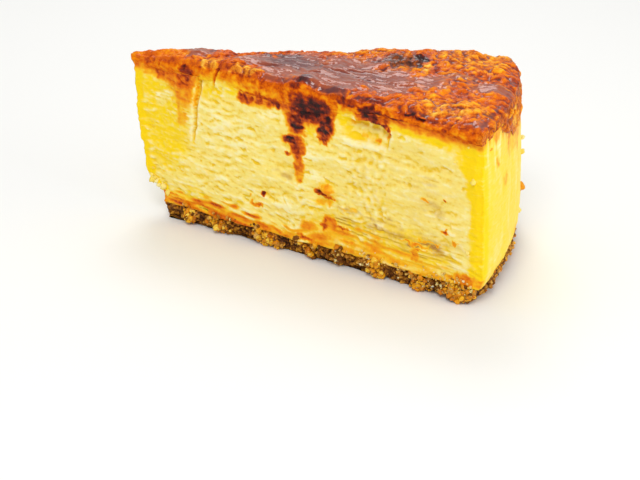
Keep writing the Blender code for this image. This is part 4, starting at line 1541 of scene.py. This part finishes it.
from_tip = filling_along - read_off(TORN_TIP, filling_height)
curd_weights = groove(filling_height - 13, 4) * fade(from_tip, 1, 4)
curd_weights += 0.02 * filling_near * groove(filling_height - 10, 2) * fade(filling_along, 6, 40)
centres = pick(filling_points, curd_weights, 34, 24)
sizes = random_sizes(centres, 0.5, 0.9)
drops = nearest(filling_points, [on_near_side(along, height) for along, height, radius in DROPS])
outer_curds = nearest(filling_points, [(*OUTLINE, height) for height, radius in OUTER_CURDS])
centres = np.concatenate([centres, drops, outer_curds + 0.7 * OUTER_NORMAL])
sizes = np.append(sizes, [piece[-1] for piece in DROPS + OUTER_CURDS])
scatter("filling_crumbs", curd_finish, centres, sizes, 25)

# %% [markdown]
# ## Floor, light and camera
#
# The camera stands where the photograph was taken from: its height, heading, tilt and lens were worked out
# from the photograph's perspective. The room is bright and even. One soft light from above and behind gives
# the sugar its sheen, one from the front lights the cut face, and one from the right fills the shadows.

# %% Camera
CAMERA_PLACE = (114.6, -414.0, 221.1)
HEADING = math.radians(15.407)
TILT_DOWN = math.radians(27.444)
ROLL = math.radians(1.287)
SENSOR_WIDTH = 36.0
FOCAL_PIXELS = 1485.6
PHOTO_WIDTH = 640


def set_camera():
    """The camera of the photograph: rolled, tilted down from level, and turned to its heading."""
    lens = bpy.data.cameras.new("camera")
    lens.sensor_width = SENSOR_WIDTH
    lens.lens = FOCAL_PIXELS * SENSOR_WIDTH / PHOTO_WIDTH
    camera = bpy.data.objects.new("camera", lens)
    turn = Matrix.Rotation(HEADING, 4, "Z") @ Matrix.Rotation(math.pi / 2 - TILT_DOWN, 4, "X")
    turn = turn @ Matrix.Rotation(ROLL, 4, "Z")
    camera.matrix_world = Matrix.Translation([side * MM for side in CAMERA_PLACE]) @ turn
    bpy.context.collection.objects.link(camera)
    bpy.context.scene.camera = camera
    print("lens", round(lens.lens, 2), "mm")


set_camera()


# %% Floor and light
FLOOR_REACH = 3000
FLOOR_HEIGHT = -0.2
WORLD_STRENGTH = 0.64
# Place, target and width in millimetres, and power in watts
LIGHTS = {
    "window above and behind": ((-120, 330, 520), (0, 0, 30), 260, 0.9),
    "lamp above the front": ((40, -420, 600), (0, 0, 25), 240, 1.7),
    "fill from the right": ((620, -80, 240), (60, 0, 30), 400, 1.2),
}


def set_floor():
    """A pale floor, large enough that its edge is never seen, just below the slice."""
    mesh = bpy.data.meshes.new("floor")
    reach, height = FLOOR_REACH * MM, FLOOR_HEIGHT * MM
    corners = [(reach * x, reach * y, height) for x, y in ((-1, -1), (1, -1), (1, 1), (-1, 1))]
    mesh.from_pydata(corners, [], [(0, 1, 2, 3)])
    floor = bpy.data.objects.new("floor", mesh)
    bpy.context.collection.objects.link(floor)
    recipe = Recipe("pale floor", Roughness=0.6)
    mesh.materials.append(recipe.finish(Base_Color=shade(243, 243, 241)))


def soft_light(name, place, target, size, power):
    """A square area light at a place, turned to a target, both in millimetres."""
    data = bpy.data.lights.new(name, "AREA")
    data.size = size * MM
    data.energy = power
    light = bpy.data.objects.new(name, data)
    start, end = Vector(place) * MM, Vector(target) * MM
    turn = (end - start).to_track_quat("-Z", "Y").to_matrix().to_4x4()
    light.matrix_world = Matrix.Translation(start) @ turn
    bpy.context.collection.objects.link(light)


def set_world(strength):
    """An even, nearly white room."""
    world = bpy.data.worlds.new("studio")
    world.use_nodes = True
    background = world.node_tree.nodes["Background"]
    background.inputs["Color"].default_value = (1.0, 1.0, 0.99, 1)
    background.inputs["Strength"].default_value = strength
    bpy.context.scene.world = world


set_floor()
set_world(WORLD_STRENGTH)
for name, setting in LIGHTS.items():
    soft_light(name, *setting)
bpy.context.scene.view_settings.view_transform = "Standard"

# %% Update the scene
bpy.context.view_layer.update()
